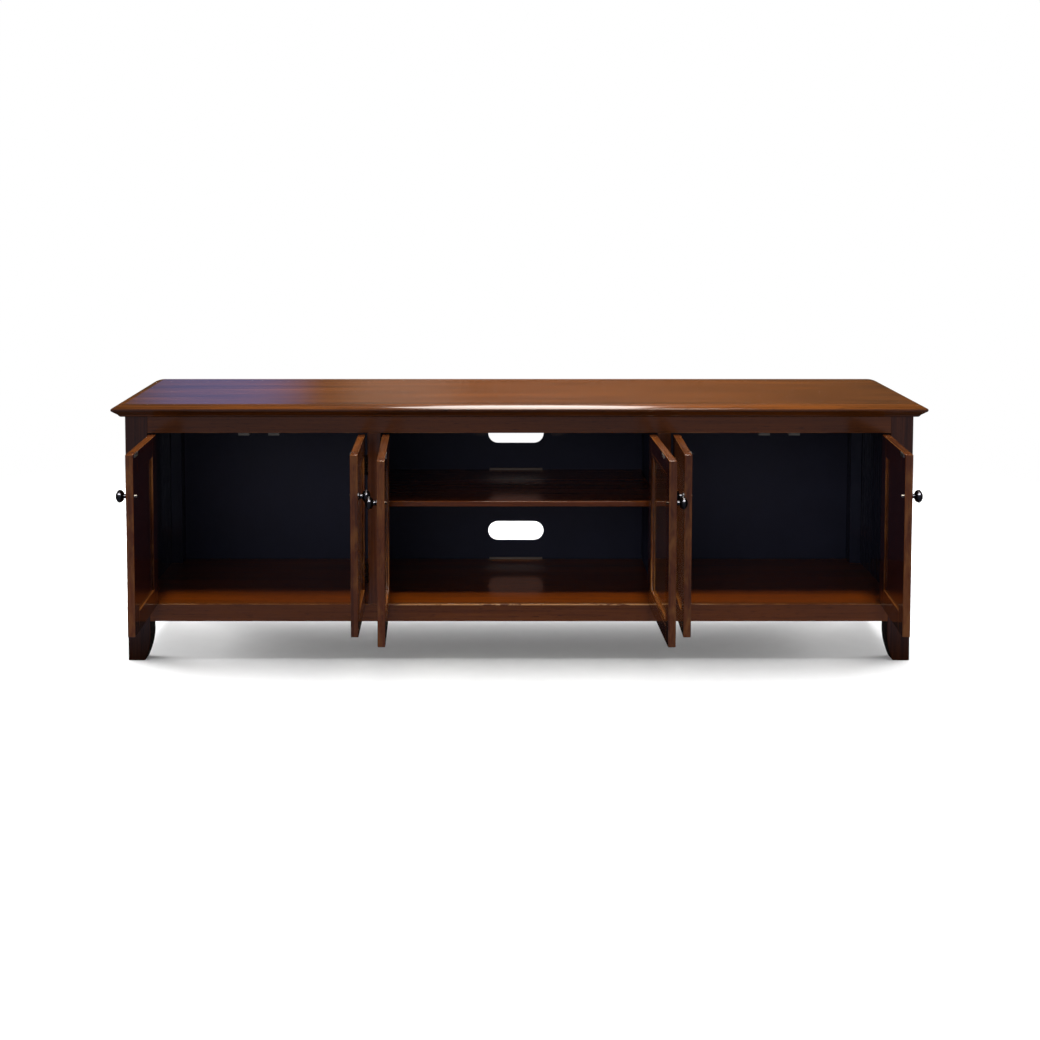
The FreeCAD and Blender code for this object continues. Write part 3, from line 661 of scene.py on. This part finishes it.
eased = [
    eased_copy("top_panel", 0.8, axes=SIDEWAYS, shortest_mm=MEMBER, curved=True),
    eased_copy("media_shelf", 1.8, curved=True),
]
for side in ("left", "right"):
    eased.append(eased_copy(f"{side}_divider_stile", 1.0, curved=True))
    for end in ("front", "rear"):
        eased.append(eased_copy(f"{end}_{side}_leg", 1.4, axes=UPWARDS, curved=True))
for rail, ease_mm in (("top_front", 1.2), ("bottom_front", 2.0), ("top_rear", 1.0), ("bottom_rear", 1.0)):
    eased.append(eased_copy(f"{rail}_rail", ease_mm, axes=SIDEWAYS, shortest_mm=MEMBER, scored=True))
for joint in frame["joints"]:
    door, hung = joint["child"], hanging(joint)
    eased.append(eased_copy(f"{door}_stiles", 1.2, hung=hung))
    eased.append(eased_copy(f"{door}_rails", 1.2, axes=INWARDS, hung=hung))
    if f"{door}_panel" in nodes:
        eased.append(eased_copy(f"{door}_panel", 0.5, hung=hung))
print(len(eased), "pieces with rounded arrises,", sum(len(p.data.polygons) for p in eased), "faces")

# %% [markdown]
# ## The painted highlight on the sill of the middle bay
# Along the middle bay, the upper front arris of the bottom rail shows a thin pale line, a painted highlight
# of the lamps over the stand. A pale strip could be laid on it, but a colour is enough. So the rail is cut
# at both ends of the bay, and the faces of the arris between the cuts get a high value of the attribute
# that also marks worn edges, so the stain draws them in its pale edge tone.

# %% Paint the highlight on the sill
SILL_END = 0.3125
SILL_HIGHLIGHT = 8
FACING_FRONT = -0.1


def paint_sill_highlight(piece):
    """Paint a pale highlight on the upper front arris of the bottom rail along the middle bay."""
    shape = bmesh.new()
    shape.from_mesh(piece.data)
    worn = shape.faces.layers.float[WEAR_AND_GLINT]
    for end in (-SILL_END, SILL_END):
        cut_across(shape, end, RIGHT)
    shape.normal_update()
    top = max(corner.co.z for corner in shape.verts)
    for face in shape.faces:
        middle = face.calc_center_median()
        if face.normal.y < FACING_FRONT and middle.z > top - SCORE and abs(middle.x) < SILL_END:
            face[worn] = SILL_HIGHLIGHT
    shape.to_mesh(piece.data)
    shape.free()


# The pale line along the sill is a painted highlight, drawn through the wear attribute.
paint_sill_highlight(bpy.data.objects["bottom_front_rail_wood"])
print("The sill is worn along", 2 * SILL_END, "m")

# %% [markdown]
# ## Beads round the panes
# Four slim beads hold each pane from behind. A glazier mitres them at the corners and rounds the arris that
# shows, while the CAD model has four plain strips. A curve with a bevel could draw the frame, but its
# corners pinch, so one section is set out at each corner of the pane and the four are joined by faces.

# %% Mitred glass beads
BEAD_ROUND = 3 * MM
ROUND_POINTS = 5
# Points of the section that come before those of its round.
SQUARE_POINTS = 2
GLAZED = [joint for joint in frame["joints"] if f"{joint['child']}_glass_beads" in nodes]


def bead_section(wide, front, rear):
    """Outline of a bead, as distances in from the edge and to the back, with the inner rear arris round."""
    quarter = [math.pi / 2 * step / (ROUND_POINTS - 1) for step in range(ROUND_POINTS)]
    return [(0, front), (0, rear)] + [
        (wide - BEAD_ROUND * (1 - math.sin(turn)), rear - BEAD_ROUND * (1 - math.cos(turn)))
        for turn in quarter
    ] + [(wide, front)]


def mitred_beads(joint):
    """One frame of beads with mitred corners, in the place of the four CAD strips of a door."""
    node = f"{joint['child']}_glass_beads"
    pin, along, back = hanging(joint)
    corners = [vertex.co for vertex in nodes[node].data.vertices]
    edge = sorted({round((corner - pin).dot(along), 4) for corner in corners})
    low, high = span(corners, pin, UP)
    section = bead_section(edge[1] - edge[0], *span(corners, pin, back))
    # Place of each corner along the door and up, and the ways from it into the pane.
    ends = [(edge[0], low, 1, 1), (edge[-1], low, -1, 1), (edge[-1], high, -1, -1), (edge[0], high, 1, -1)]

    shape = bmesh.new()
    worn = shape.faces.layers.float.new(WEAR_AND_GLINT)
    rings = [
        [shape.verts.new(pin + along * (u + u_in * inset) + back * deep + UP * (z + z_in * inset))
         for inset, deep in section]
        for u, z, u_in, z_in in ends
    ]
    for ring, after in zip(rings, rings[1:] + rings[:1]):
        for place in range(len(section)):
            other = place - 1
            face = shape.faces.new((ring[other], ring[place], after[place], after[other]))
            face.smooth = SQUARE_POINTS < place < SQUARE_POINTS + ROUND_POINTS
            face[worn] = float(face.smooth)
    bmesh.ops.recalc_face_normals(shape, faces=shape.faces)
    return stand_in(shape, f"{node}_mitred", node)


for joint in GLAZED:
    beads = mitred_beads(joint)
    print(beads.name, len(beads.data.polygons), "faces")

# %% [markdown]
# ## Screws
# Hinge leaves, strike plates, knobs, the back boards and the top are all held by cross-head screws. They
# only differ in size, so one geometry node tree makes them: it takes points that say which way they face,
# cuts a cross in a low head with a boolean, sets a copy on every point and gives each a turn of its own, as
# screws never line up. The copies are then made real, because only plain meshes can ride on a body.

# %% One tree for all screws
SCREW_SIZES = (
    "Head Across", "Head High", "Shank Across", "Shank Long", "Cross Across", "Cross Wide", "Cross Deep",
)
FACING = "facing"
HEAD_SIDES = 20
SHANK_SIDES = 10
# Radius of the head's rim and crown, as a share of the width across.
RIM_SHARE = 0.5
CROWN_SHARE = 0.41


def cross_head_screw(tree, given):
    """One screw that stands on the origin, with its cross cut into the head."""
    rim, crown, core, sunk, both_ways = [
        add(tree, "ShaderNodeMath", {0: given[size], 1: share}, operation="MULTIPLY").outputs[0]
        for size, share in (
            ("Head Across", RIM_SHARE), ("Head Across", CROWN_SHARE), ("Shank Across", 0.5),
            ("Shank Long", -0.5), ("Cross Deep", 2),
        )
    ]
    head = add(tree, "GeometryNodeMeshCone", {
        "Vertices": HEAD_SIDES, "Radius Top": crown, "Radius Bottom": rim, "Depth": given["Head High"],
    })
    arm_size = add(tree, "ShaderNodeCombineXYZ", {
        "X": given["Cross Across"], "Y": given["Cross Wide"], "Z": both_ways,
    })
    arm = add(tree, "GeometryNodeMeshCube", {"Size": arm_size.outputs[0]})
    on_head = add(tree, "ShaderNodeCombineXYZ", {"Z": given["Head High"]})
    slotted = add(tree, "GeometryNodeMeshBoolean", {"Mesh 1": head.outputs["Mesh"]}, operation="DIFFERENCE")
    for turn in (0, math.pi / 2):
        turned = add(tree, "GeometryNodeTransform", {
            "Geometry": arm.outputs["Mesh"], "Translation": on_head.outputs[0], "Rotation": (0, 0, turn),
        })
        fill(tree, slotted, {"Mesh 2": turned.outputs[0]})
    shank = add(tree, "GeometryNodeMeshCylinder", {
        "Vertices": SHANK_SIDES, "Radius": core, "Depth": given["Shank Long"],
    })
    under = add(tree, "ShaderNodeCombineXYZ", {"Z": sunk})
    lowered = add(tree, "GeometryNodeTransform", {
        "Geometry": shank.outputs["Mesh"], "Translation": under.outputs[0],
    })
    whole = add(tree, "GeometryNodeJoinGeometry", {0: slotted.outputs[0]})
    fill(tree, whole, {0: lowered.outputs[0]})
    return whole.outputs[0]


def screw_tree():
    """Geometry nodes that put a cross-head screw on every point, facing as the point's attribute says."""
    tree = bpy.data.node_groups.new("cross_head_screws", "GeometryNodeTree")
    sizes = [(size, "Float") for size in SCREW_SIZES]
    for name, kind in (("Points", "Geometry"), *sizes, ("Seed", "Int"), ("Finish", "Material")):
        tree.interface.new_socket(name, in_out="INPUT", socket_type=f"NodeSocket{kind}")
    tree.interface.new_socket("Screws", in_out="OUTPUT", socket_type="NodeSocketGeometry")
    given = add(tree, "NodeGroupInput").outputs

    facing = add(tree, "GeometryNodeInputNamedAttribute", {"Name": FACING}, data_type="FLOAT_VECTOR")
    aimed = add(tree, "FunctionNodeAlignRotationToVector", {"Vector": facing.outputs[0]}, axis="Z")
    # On this node, sockets 2 and 3 are the least and most of a plain number, and output 1 gives it.
    any_turn = add(tree, "FunctionNodeRandomValue", {
        2: 0, 3: math.tau, "Seed": given["Seed"],
    }, data_type="FLOAT")
    spin = add(tree, "FunctionNodeAxisAngleToRotation", {"Axis": UP, "Angle": any_turn.outputs[1]})
    driven = add(tree, "FunctionNodeRotateRotation", {
        "Rotation": aimed.outputs[0], "Rotate By": spin.outputs[0],
    }, rotation_space="LOCAL")
    copies = add(tree, "GeometryNodeInstanceOnPoints", {
        "Points": given["Points"], "Instance": cross_head_screw(tree, given), "Rotation": driven.outputs[0],
    })
    real = add(tree, "GeometryNodeRealizeInstances", {"Geometry": copies.outputs[0]})
    plated = add(tree, "GeometryNodeSetMaterial", {
        "Geometry": real.outputs[0], "Material": given["Finish"],
    })
    add(tree, "NodeGroupOutput", {0: plated.outputs[0]})
    return tree


SCREWS = screw_tree()
print("Screw tree:", len(SCREWS.nodes), "nodes")

# %% Set screws on points
SEED = 7
# Millimetres in the order of the sizes above.
FLUSH_SCREW = (4.4, 0.16, 2.4, 0.8, 2.6, 0.5, 0.3)
PAN_SCREW = (7, 2, 3.5, 16, 3.8, 0.9, 1.3)
TOP_SCREW = (7, 2, 3.5, 27, 3.8, 0.9, 1.3)
KNOB_SCREW = (5.2, 0.7, 3, 0.5, 3, 0.8, 0.6)


def set_screws(name, spots, sizes_mm):
    """Screws of one size on a list of points, each with the way it faces, as a plain mesh."""
    mesh = bpy.data.meshes.new(f"{name}_points")
    mesh.from_pydata([spot for spot, _ in spots], [], [])
    ways = mesh.attributes.new(FACING, "FLOAT_VECTOR", "POINT")
    for item, (_, way) in zip(ways.data, spots):
        item.vector = way
    piece = put(name, mesh)
    modifier = piece.modifiers.new("screws", "NODES")
    modifier.node_group = SCREWS
    values = dict(zip(SCREW_SIZES, (size * MM for size in sizes_mm)), Seed=SEED, Finish=NICKEL)
    for socket in SCREWS.interface.items_tree:
        if socket.in_out == "INPUT" and socket.name in values:
            modifier[socket.identifier] = values[socket.name]
    made = bpy.data.meshes.new_from_object(piece.evaluated_get(bpy.context.evaluated_depsgraph_get()))
    piece.modifiers.clear()
    piece.data = made
    made.name = name
    print(name, len(spots), "screws,", len(made.polygons), "faces")
    return piece


def solids(node):
    """The corners of each separate solid in a CAD node."""
    shape = merged(node)
    seen = set()
    found = []
    for start in shape.verts:
        if start in seen:
            continue
        seen.add(start)
        solid = [start]
        for corner in solid:
            fresh = [edge.other_vert(corner) for edge in corner.link_edges]
            fresh = [other for other in dict.fromkeys(fresh) if other not in seen]
            seen.update(fresh)
            solid += fresh
        found.append([corner.co.copy() for corner in solid])
    shape.free()
    return found


print(len(solids("frame_hinge_leaves")), "hinge leaves on the carcass")

# %% Screws of the carcass
LEAF_FACE = 0.3 * MM
LEAF_ENDS = 8 * MM
LEAF_DEPTHS = (12 * MM, 7 * MM, 12 * MM)


def leaf_screws(low, high, face, back, way):
    """Three staggered screws on the open face of a hinge leaf."""
    levels = (low + LEAF_ENDS, (low + high) / 2, high - LEAF_ENDS)
    return [(face + back * deep + UP * level, way) for level, deep in zip(levels, LEAF_DEPTHS)]


def replaced_screws(node, axis, side, kind):
    """Better screws for a CAD node of plain ones, with their heads where the plain heads are."""
    way = UNITS[axis] * side
    spots = []
    for solid in solids(node):
        middle = Vector([sum(span(solid, ORIGIN, unit)) / 2 for unit in UNITS])
        head_high = kind[1] * MM
        middle[axis] = side * (span(solid, ORIGIN, way)[1] - head_high)
        spots.append((middle, way))
    piece = set_screws(f"{node}_cross_head", spots, kind)
    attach(piece, nodes[node]["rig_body"])
    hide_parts(node)


hinge_spots = []
for leaf in solids("frame_hinge_leaves"):
    low, high = span(leaf, ORIGIN, UP)
    middle = sum(span(leaf, ORIGIN, RIGHT)) / 2
    joint = min(frame["joints"], key=lambda one: abs(one["pos_m"][0] - middle))
    towards_door = Vector((-joint["axis"][2], 0, 0))
    face = hanging(joint)[0] - LEAF_FACE * towards_door
    hinge_spots += leaf_screws(low, high, face, REARWARD, towards_door)
frame_screws = set_screws("frame_hinge_screws", hinge_spots, FLUSH_SCREW)
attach(frame_screws, "carcass")
replaced_screws("back_panel_screws", axis=1, side=1, kind=PAN_SCREW)
replaced_screws("top_screws", axis=2, side=-1, kind=TOP_SCREW)

# %% Screws of the doors
LEAF_HIGH = 40 * MM
PLATE_THICK = 2 * MM
PLATE_SCREW = 9 * MM
for joint in frame["joints"]:
    door = joint["child"]
    pin, along, back = hanging(joint)
    spots = []
    knob_spots = []
    for solid in solids(f"{door}_fittings"):
        low, high = span(solid, pin, UP)
        near, far = span(solid, pin, along)
        front, rear = span(solid, pin, back)
        middle = pin + along * (near + far) / 2 + back * rear + UP * (low + high) / 2
        if high - low > LEAF_HIGH:
            spots += leaf_screws(low, high, pin + along * LEAF_FACE, back, -along)
        elif rear - front < PLATE_THICK:
            spots += [(middle + along * side * PLATE_SCREW, back) for side in (-1, 1)]
        else:
            knob_spots.append((middle, back))
    for name, places, kind in (("fitting", spots, FLUSH_SCREW), ("knob", knob_spots, KNOB_SCREW)):
        piece = set_screws(f"{door}_{name}_screws", places, kind)
        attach(piece, door)

# %% [markdown]
# ## Studio floor
# The stand is shown on a seamless pale sweep. To the camera it is matt white paper that thins out far away,
# so that no edge shows. A white floor would also shine up under the doors and bleach the lacquer, where a
# photographer would lay black card. A light path node tells the rays apart: those that bounce or mirror
# meet a darker floor, and for mirrors it is darkest under the stand, a painted shade of the stand.

# %% Floor
PAPER = ("#f2f2f2", "#f8f8f8")
PAPER_GRAIN = 40 * MM
DARK_CARD = "#4a4744"
MIRRORED_FLOOR_AND_SHADE = ("#5e606c", "#232120")
# Where, from front to back, the mirrored floor darkens into a painted shade under the stand, and how far
# out the sweep thins, in metres.
MIRROR_SHADE_SPAN = (-0.5, -0.2)
THINS_OUT = (1.5, 2.6)


def studio_floor():
    """A matt white sweep. Far out it thins to the white of the room, so that no edge shows."""
    material, tree, shader, where = finish_named("matt_white_sweep")
    tree.nodes.remove(shader)
    grain = add(tree, "ShaderNodeTexNoise", {"Vector": where, "Scale": 1 / PAPER_GRAIN, "Detail": 3})
    paper = add(tree, "ShaderNodeMix", {FACTOR: grain.outputs[0], **tones(*PAPER)}, data_type="RGBA")
    ahead = add(tree, "ShaderNodeSeparateXYZ", {0: where}).outputs["Y"]
    under = add(tree, "ShaderNodeMapRange", {"Value": ahead, **spread(*MIRROR_SHADE_SPAN)})
    shade = add(tree, "ShaderNodeMix", {
        FACTOR: under.outputs[0], **tones(*MIRRORED_FLOOR_AND_SHADE),
    }, data_type="RGBA")
    seen, bounced, mirrored = [
        add(tree, "ShaderNodeBsdfDiffuse", {"Color": colour}).outputs[0]
        for colour in (paper.outputs[MIXED], linear(DARK_CARD), shade.outputs[MIXED])
    ]
    path = add(tree, "ShaderNodeLightPath")
    thrown = add(tree, "ShaderNodeMixShader", {0: path.outputs["Is Glossy Ray"], 1: bounced, 2: mirrored})
    near = add(tree, "ShaderNodeMixShader", {
        0: path.outputs["Is Camera Ray"], 1: thrown.outputs[0], 2: seen,
    })
    reach = add(tree, "ShaderNodeVectorMath", {0: where}, operation="LENGTH")
    far = add(tree, "ShaderNodeMapRange", {
        "Value": reach.outputs["Value"], **spread(*THINS_OUT),
    }, interpolation_type="SMOOTHSTEP")
    open_room = add(tree, "ShaderNodeBsdfTransparent")
    sweep = add(tree, "ShaderNodeMixShader", {
        0: far.outputs[0], 1: near.outputs[0], 2: open_room.outputs[0],
    })
    fill(tree, tree.nodes["Material Output"], {"Surface": sweep.outputs[0]})
    return material


FLOOR_HALF = 3.0
FLOOR_DROP = 0.4 * MM
corners = [(x * FLOOR_HALF, y * FLOOR_HALF, -FLOOR_DROP) for x, y in ((-1, -1), (1, -1), (1, 1), (-1, 1))]
floor_mesh = bpy.data.meshes.new("studio_floor")
floor_mesh.from_pydata(corners, [], [(0, 1, 2, 3)])
floor_mesh.materials.append(studio_floor())
floor = put("studio_floor", floor_mesh)
print("Floor:", 2 * FLOOR_HALF, "m square")

# %% [markdown]
# ## Studio room
# The room is plain white to the camera. White walls would bleach lacquer that is seen at this low angle, so
# reflections meet a dim room, bluish in front of the stand and brown behind it. The top mirrors three faint
# glows: a blue one at the left, a grey one beside it and a reddish one higher up. A lamp could make each,
# but its mirror image would have a sharp rim, while a glow painted on the room fades out.

# %% Room
DIM_ROOM = ("#7c7e8c", "#463d2e")
ROOM_DEPTH = (-0.3, 0.3)
SOFT_ROOM = "#666668"
WHITE = "#ffffff"
# Where a glow is, the cosines between which it fades in, and its colour.
GLOWS = (
    (Vector((-0.18, 0.97, 0.14)).normalized(), 0.9973, 0.9998, "#4a6faa"),
    (Vector((-0.06, 0.988, 0.146)).normalized(), 0.9986, 0.99995, "#716b62"),
    (Vector((0.02, 0.968, 0.25)).normalized(), 0.9940, 0.9976, "#5d443e"),
)


def studio_room():
    """White for the camera, soft for diffuse light, and dim with three glows for reflections."""
    world = bpy.data.worlds.new("studio_room")
    bpy.context.scene.world = world
    world.use_nodes = True
    tree = world.node_tree
    towards = add(tree, "ShaderNodeTexCoord").outputs["Generated"]
    ahead = add(tree, "ShaderNodeSeparateXYZ", {0: towards}).outputs["Y"]
    depth = add(tree, "ShaderNodeMapRange", {"Value": ahead, **spread(*ROOM_DEPTH)})
    dim = add(tree, "ShaderNodeMix", {FACTOR: depth.outputs[0], **tones(*DIM_ROOM)}, data_type="RGBA")
    for middle, rim, core, colour in GLOWS:
        nearness = add(tree, "ShaderNodeVectorMath", {0: towards, 1: middle}, operation="DOT_PRODUCT")
        glow = add(tree, "ShaderNodeMapRange", {
            "Value": nearness.outputs["Value"], **spread(rim, core),
        }, interpolation_type="SMOOTHSTEP")
        dim = add(tree, "ShaderNodeMix", {
            FACTOR: glow.outputs[0], FIRST: dim.outputs[MIXED], SECOND: linear(colour),
        }, data_type="RGBA")
    mirrored, soft, white = [
        add(tree, "ShaderNodeBackground", {"Color": colour}).outputs[0]
        for colour in (dim.outputs[MIXED], linear(SOFT_ROOM), linear(WHITE))
    ]
    path = add(tree, "ShaderNodeLightPath")
    around = add(tree, "ShaderNodeMixShader", {0: path.outputs["Is Glossy Ray"], 1: soft, 2: mirrored})
    shown = add(tree, "ShaderNodeMixShader", {
        0: path.outputs["Is Camera Ray"], 1: around.outputs[0], 2: white,
    })
    fill(tree, tree.nodes["World Output"], {"Surface": shown.outputs[0]})


studio_room()
print("Glows in the room:", [colour for *_, colour in GLOWS])

# %% [markdown]
# ## Lamps
# Most light comes from high over the front edge, which leaves the bays dark behind a bright strip of their
# floor, and from a wide soft sky, which lays the shadow on the ground. Panels behind and at both sides lift
# the ground there, and weak copies of the side panels light the ends of the stand. Some lamps show only as
# reflections: one gives the top its sheen, and two give arrises and knobs their glints. One big softbox
# would be simpler, but it would light the bays and wash out the top.

# %% Suns and spot
CENTRE = (0, 0, 0)


def lamp(name, kind, place, target, colour, power, unseen="glossy", **shape):
    """A lamp at a place, aimed at a target. The camera and one kind of rays never see it."""
    data = bpy.data.lights.new(name, kind)
    data.energy = power
    data.color = linear(colour)[:3]
    for key, value in shape.items():
        setattr(data, key, value)
    light = put(name, data)
    light.location = place
    light.rotation_euler = (Vector(target) - Vector(place)).to_track_quat("-Z", "Y").to_euler()
    light.visible_camera = False
    setattr(light, f"visible_{unseen}", False)
    return light


key_lamp = lamp(
    "overhead_key", "SUN", place=(0.02, -0.8, 3), target=CENTRE, colour="#fff3e2", power=2.1,
    angle=math.radians(7))
sky = lamp(
    "soft_sky", "SUN", place=(0, 0.27, 3), target=CENTRE, colour=WHITE, power=3.5, angle=math.radians(34))
front_fill = lamp(
    "front_fill", "SUN", place=(-0.6, -3, 0.9), target=CENTRE, colour="#fff6f0", power=0.35,
    angle=math.radians(30))
top_spot = lamp(
    "top_spot", "SPOT", place=(0.05, 2, 2.4), target=(0.05, -0.05, 0.588), colour="#fff4e6", power=640,
    spot_size=math.radians(44), spot_blend=1, shadow_soft_size=0.2)
floor_lift = lamp(
    "floor_lift", "SUN", place=(0, 0, 3), target=CENTRE, colour=WHITE, power=0.5, use_shadow=False)
print("Suns and spot:", [light.name for light in (key_lamp, sky, front_fill, top_spot, floor_lift)])

# %% Panels
# Side and power of the panels beside the stand, and how strong their weak copies are.
SIDE_PANELS = ((-1, 70), (1, 42))
WEAK_SHARE = 0.3


def panel(name, place, target, colour, power, wide, long, unseen="glossy", shape="RECTANGLE"):
    """A flat panel of light."""
    return lamp(name, "AREA", place, target, colour, power, unseen, shape=shape, size=wide, size_y=long)


def side_panels(name, share):
    """A low panel at each side of the stand, a little behind it."""
    return [
        panel(name, (side * 2.5, 0.75, 0.5), (0, 0, 0.1), WHITE, power * share, wide=1.2, long=0.7)
        for side, power in SIDE_PANELS
    ]


knob_box = panel(
    "knob_softbox", (0, -2.3, 2.7), (0, -0.3, 0.4), WHITE, 320, wide=3.2, long=0.9, unseen="diffuse")
rear_bounce = panel("sweep_bounce", (0, 2.6, 1.3), (0, 0, 0.1), WHITE, 70, wide=3.4, long=0.9)
side_bounces = side_panels("side_bounce", 1)
side_fills = side_panels("side_fill", WEAK_SHARE)
panel(
    "sheen_panel", (0.22, 2.6, 3.2), (0.1, 0, 0.6), "#fff8f2", 56, wide=1.8, long=2.4, unseen="diffuse",
    shape="ELLIPSE")
end_fill = panel("right_end_fill", (1.4, -1.6, 0.3), (0.75, -0.2, 0.2), "#fff0dc", 4, wide=0.6, long=0.6)
panel("glint_lamp", (0.2, -0.6, 2.9), (0.1, -0.2, 0.3), "#fff4e6", 95, wide=1.2, long=1.2, unseen="diffuse")

# %% [markdown]
# ## Limits of the lamps
# A photographer holds black flags between a lamp and what it shouldn't reach. Planes could do that here,
# but they would show in the gloss. Light linking is exact: a collection names the pieces that a lamp
# lights, or those that throw its shadows. The key would draw hard lines under the open doors, so it is kept
# off the floor, and the doors throw no shadow of the sky, because each would show on the ground.

# %% Link the lamps to their pieces
def limit(light, role, pieces, state):
    """Say which pieces a lamp lights, or which of them throw its shadows."""
    chosen = bpy.data.collections.new(f"{light.name}_{role}")
    for piece in pieces:
        chosen.objects.link(piece)
    for item in chosen.collection_objects:
        item.light_linking.link_state = state
    setattr(light.light_linking, f"{role}_collection", chosen)


shown = bpy.context.scene.objects
top = shown["top_panel_wood"]
shelf = shown["media_shelf_wood"]
legs = [piece for piece in shown if piece.name.endswith("_leg_wood")]
fronts = [shown[f"{name}_wood"] for name in ("front_right_leg", "bottom_front_rail", "top_front_rail")]
limit(key_lamp, "receiver", [floor, top, *legs], "EXCLUDE")
limit(rear_bounce, "receiver", [shelf, nodes["bottom_panel"]], "EXCLUDE")
limit(top_spot, "receiver", [top], "INCLUDE")
limit(knob_box, "receiver", [nodes[f"{door}_knob"] for door in DOORS], "INCLUDE")
limit(sky, "blocker", [piece for piece in shown if piece.get("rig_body") in DOORS], "EXCLUDE")
limit(sky, "receiver", [shelf], "EXCLUDE")
limit(end_fill, "receiver", fronts, "INCLUDE")
for light in (floor_lift, *side_bounces):
    limit(light, "receiver", [floor], "INCLUDE")
for light in (front_fill, *side_fills):
    limit(light, "receiver", [floor], "EXCLUDE")
print(sum(bool(piece.light_linking.receiver_collection) for piece in shown), "lamps have limits")

# %% [markdown]
# ## Camera
# The photograph was taken a little above the top, left of the middle, with a long lens and little tilt, so
# uprights stay almost parallel. A camera that tilts less than its aim asks for needs some lens shift to
# keep the stand in the frame. The numbers come from fitting a pinhole camera to edges of the stand.

# %% Place the camera
FRAME_SIDE = 1040
SENSOR_WIDE = 36
FOCAL_PIXELS = 1461.6
AXIS_AT = (489.46, 270.4)
EYE = (-0.0671, -3.4683, 1.1004)
TILT_DOWN = 0.0645

lens = bpy.data.cameras.new("camera")
lens.sensor_width = SENSOR_WIDE
lens.lens = FOCAL_PIXELS / FRAME_SIDE * SENSOR_WIDE
lens.shift_x = 0.5 - AXIS_AT[0] / FRAME_SIDE
lens.shift_y = AXIS_AT[1] / FRAME_SIDE - 0.5
camera = put("camera", lens)
camera.location = EYE
camera.rotation_euler = (math.pi / 2 - TILT_DOWN, 0, 0)
bpy.context.scene.camera = camera
bpy.context.scene.view_settings.view_transform = "Standard"
print(f"Camera: {lens.lens:.1f} mm lens, shift {lens.shift_x:.3f} {lens.shift_y:.3f}")
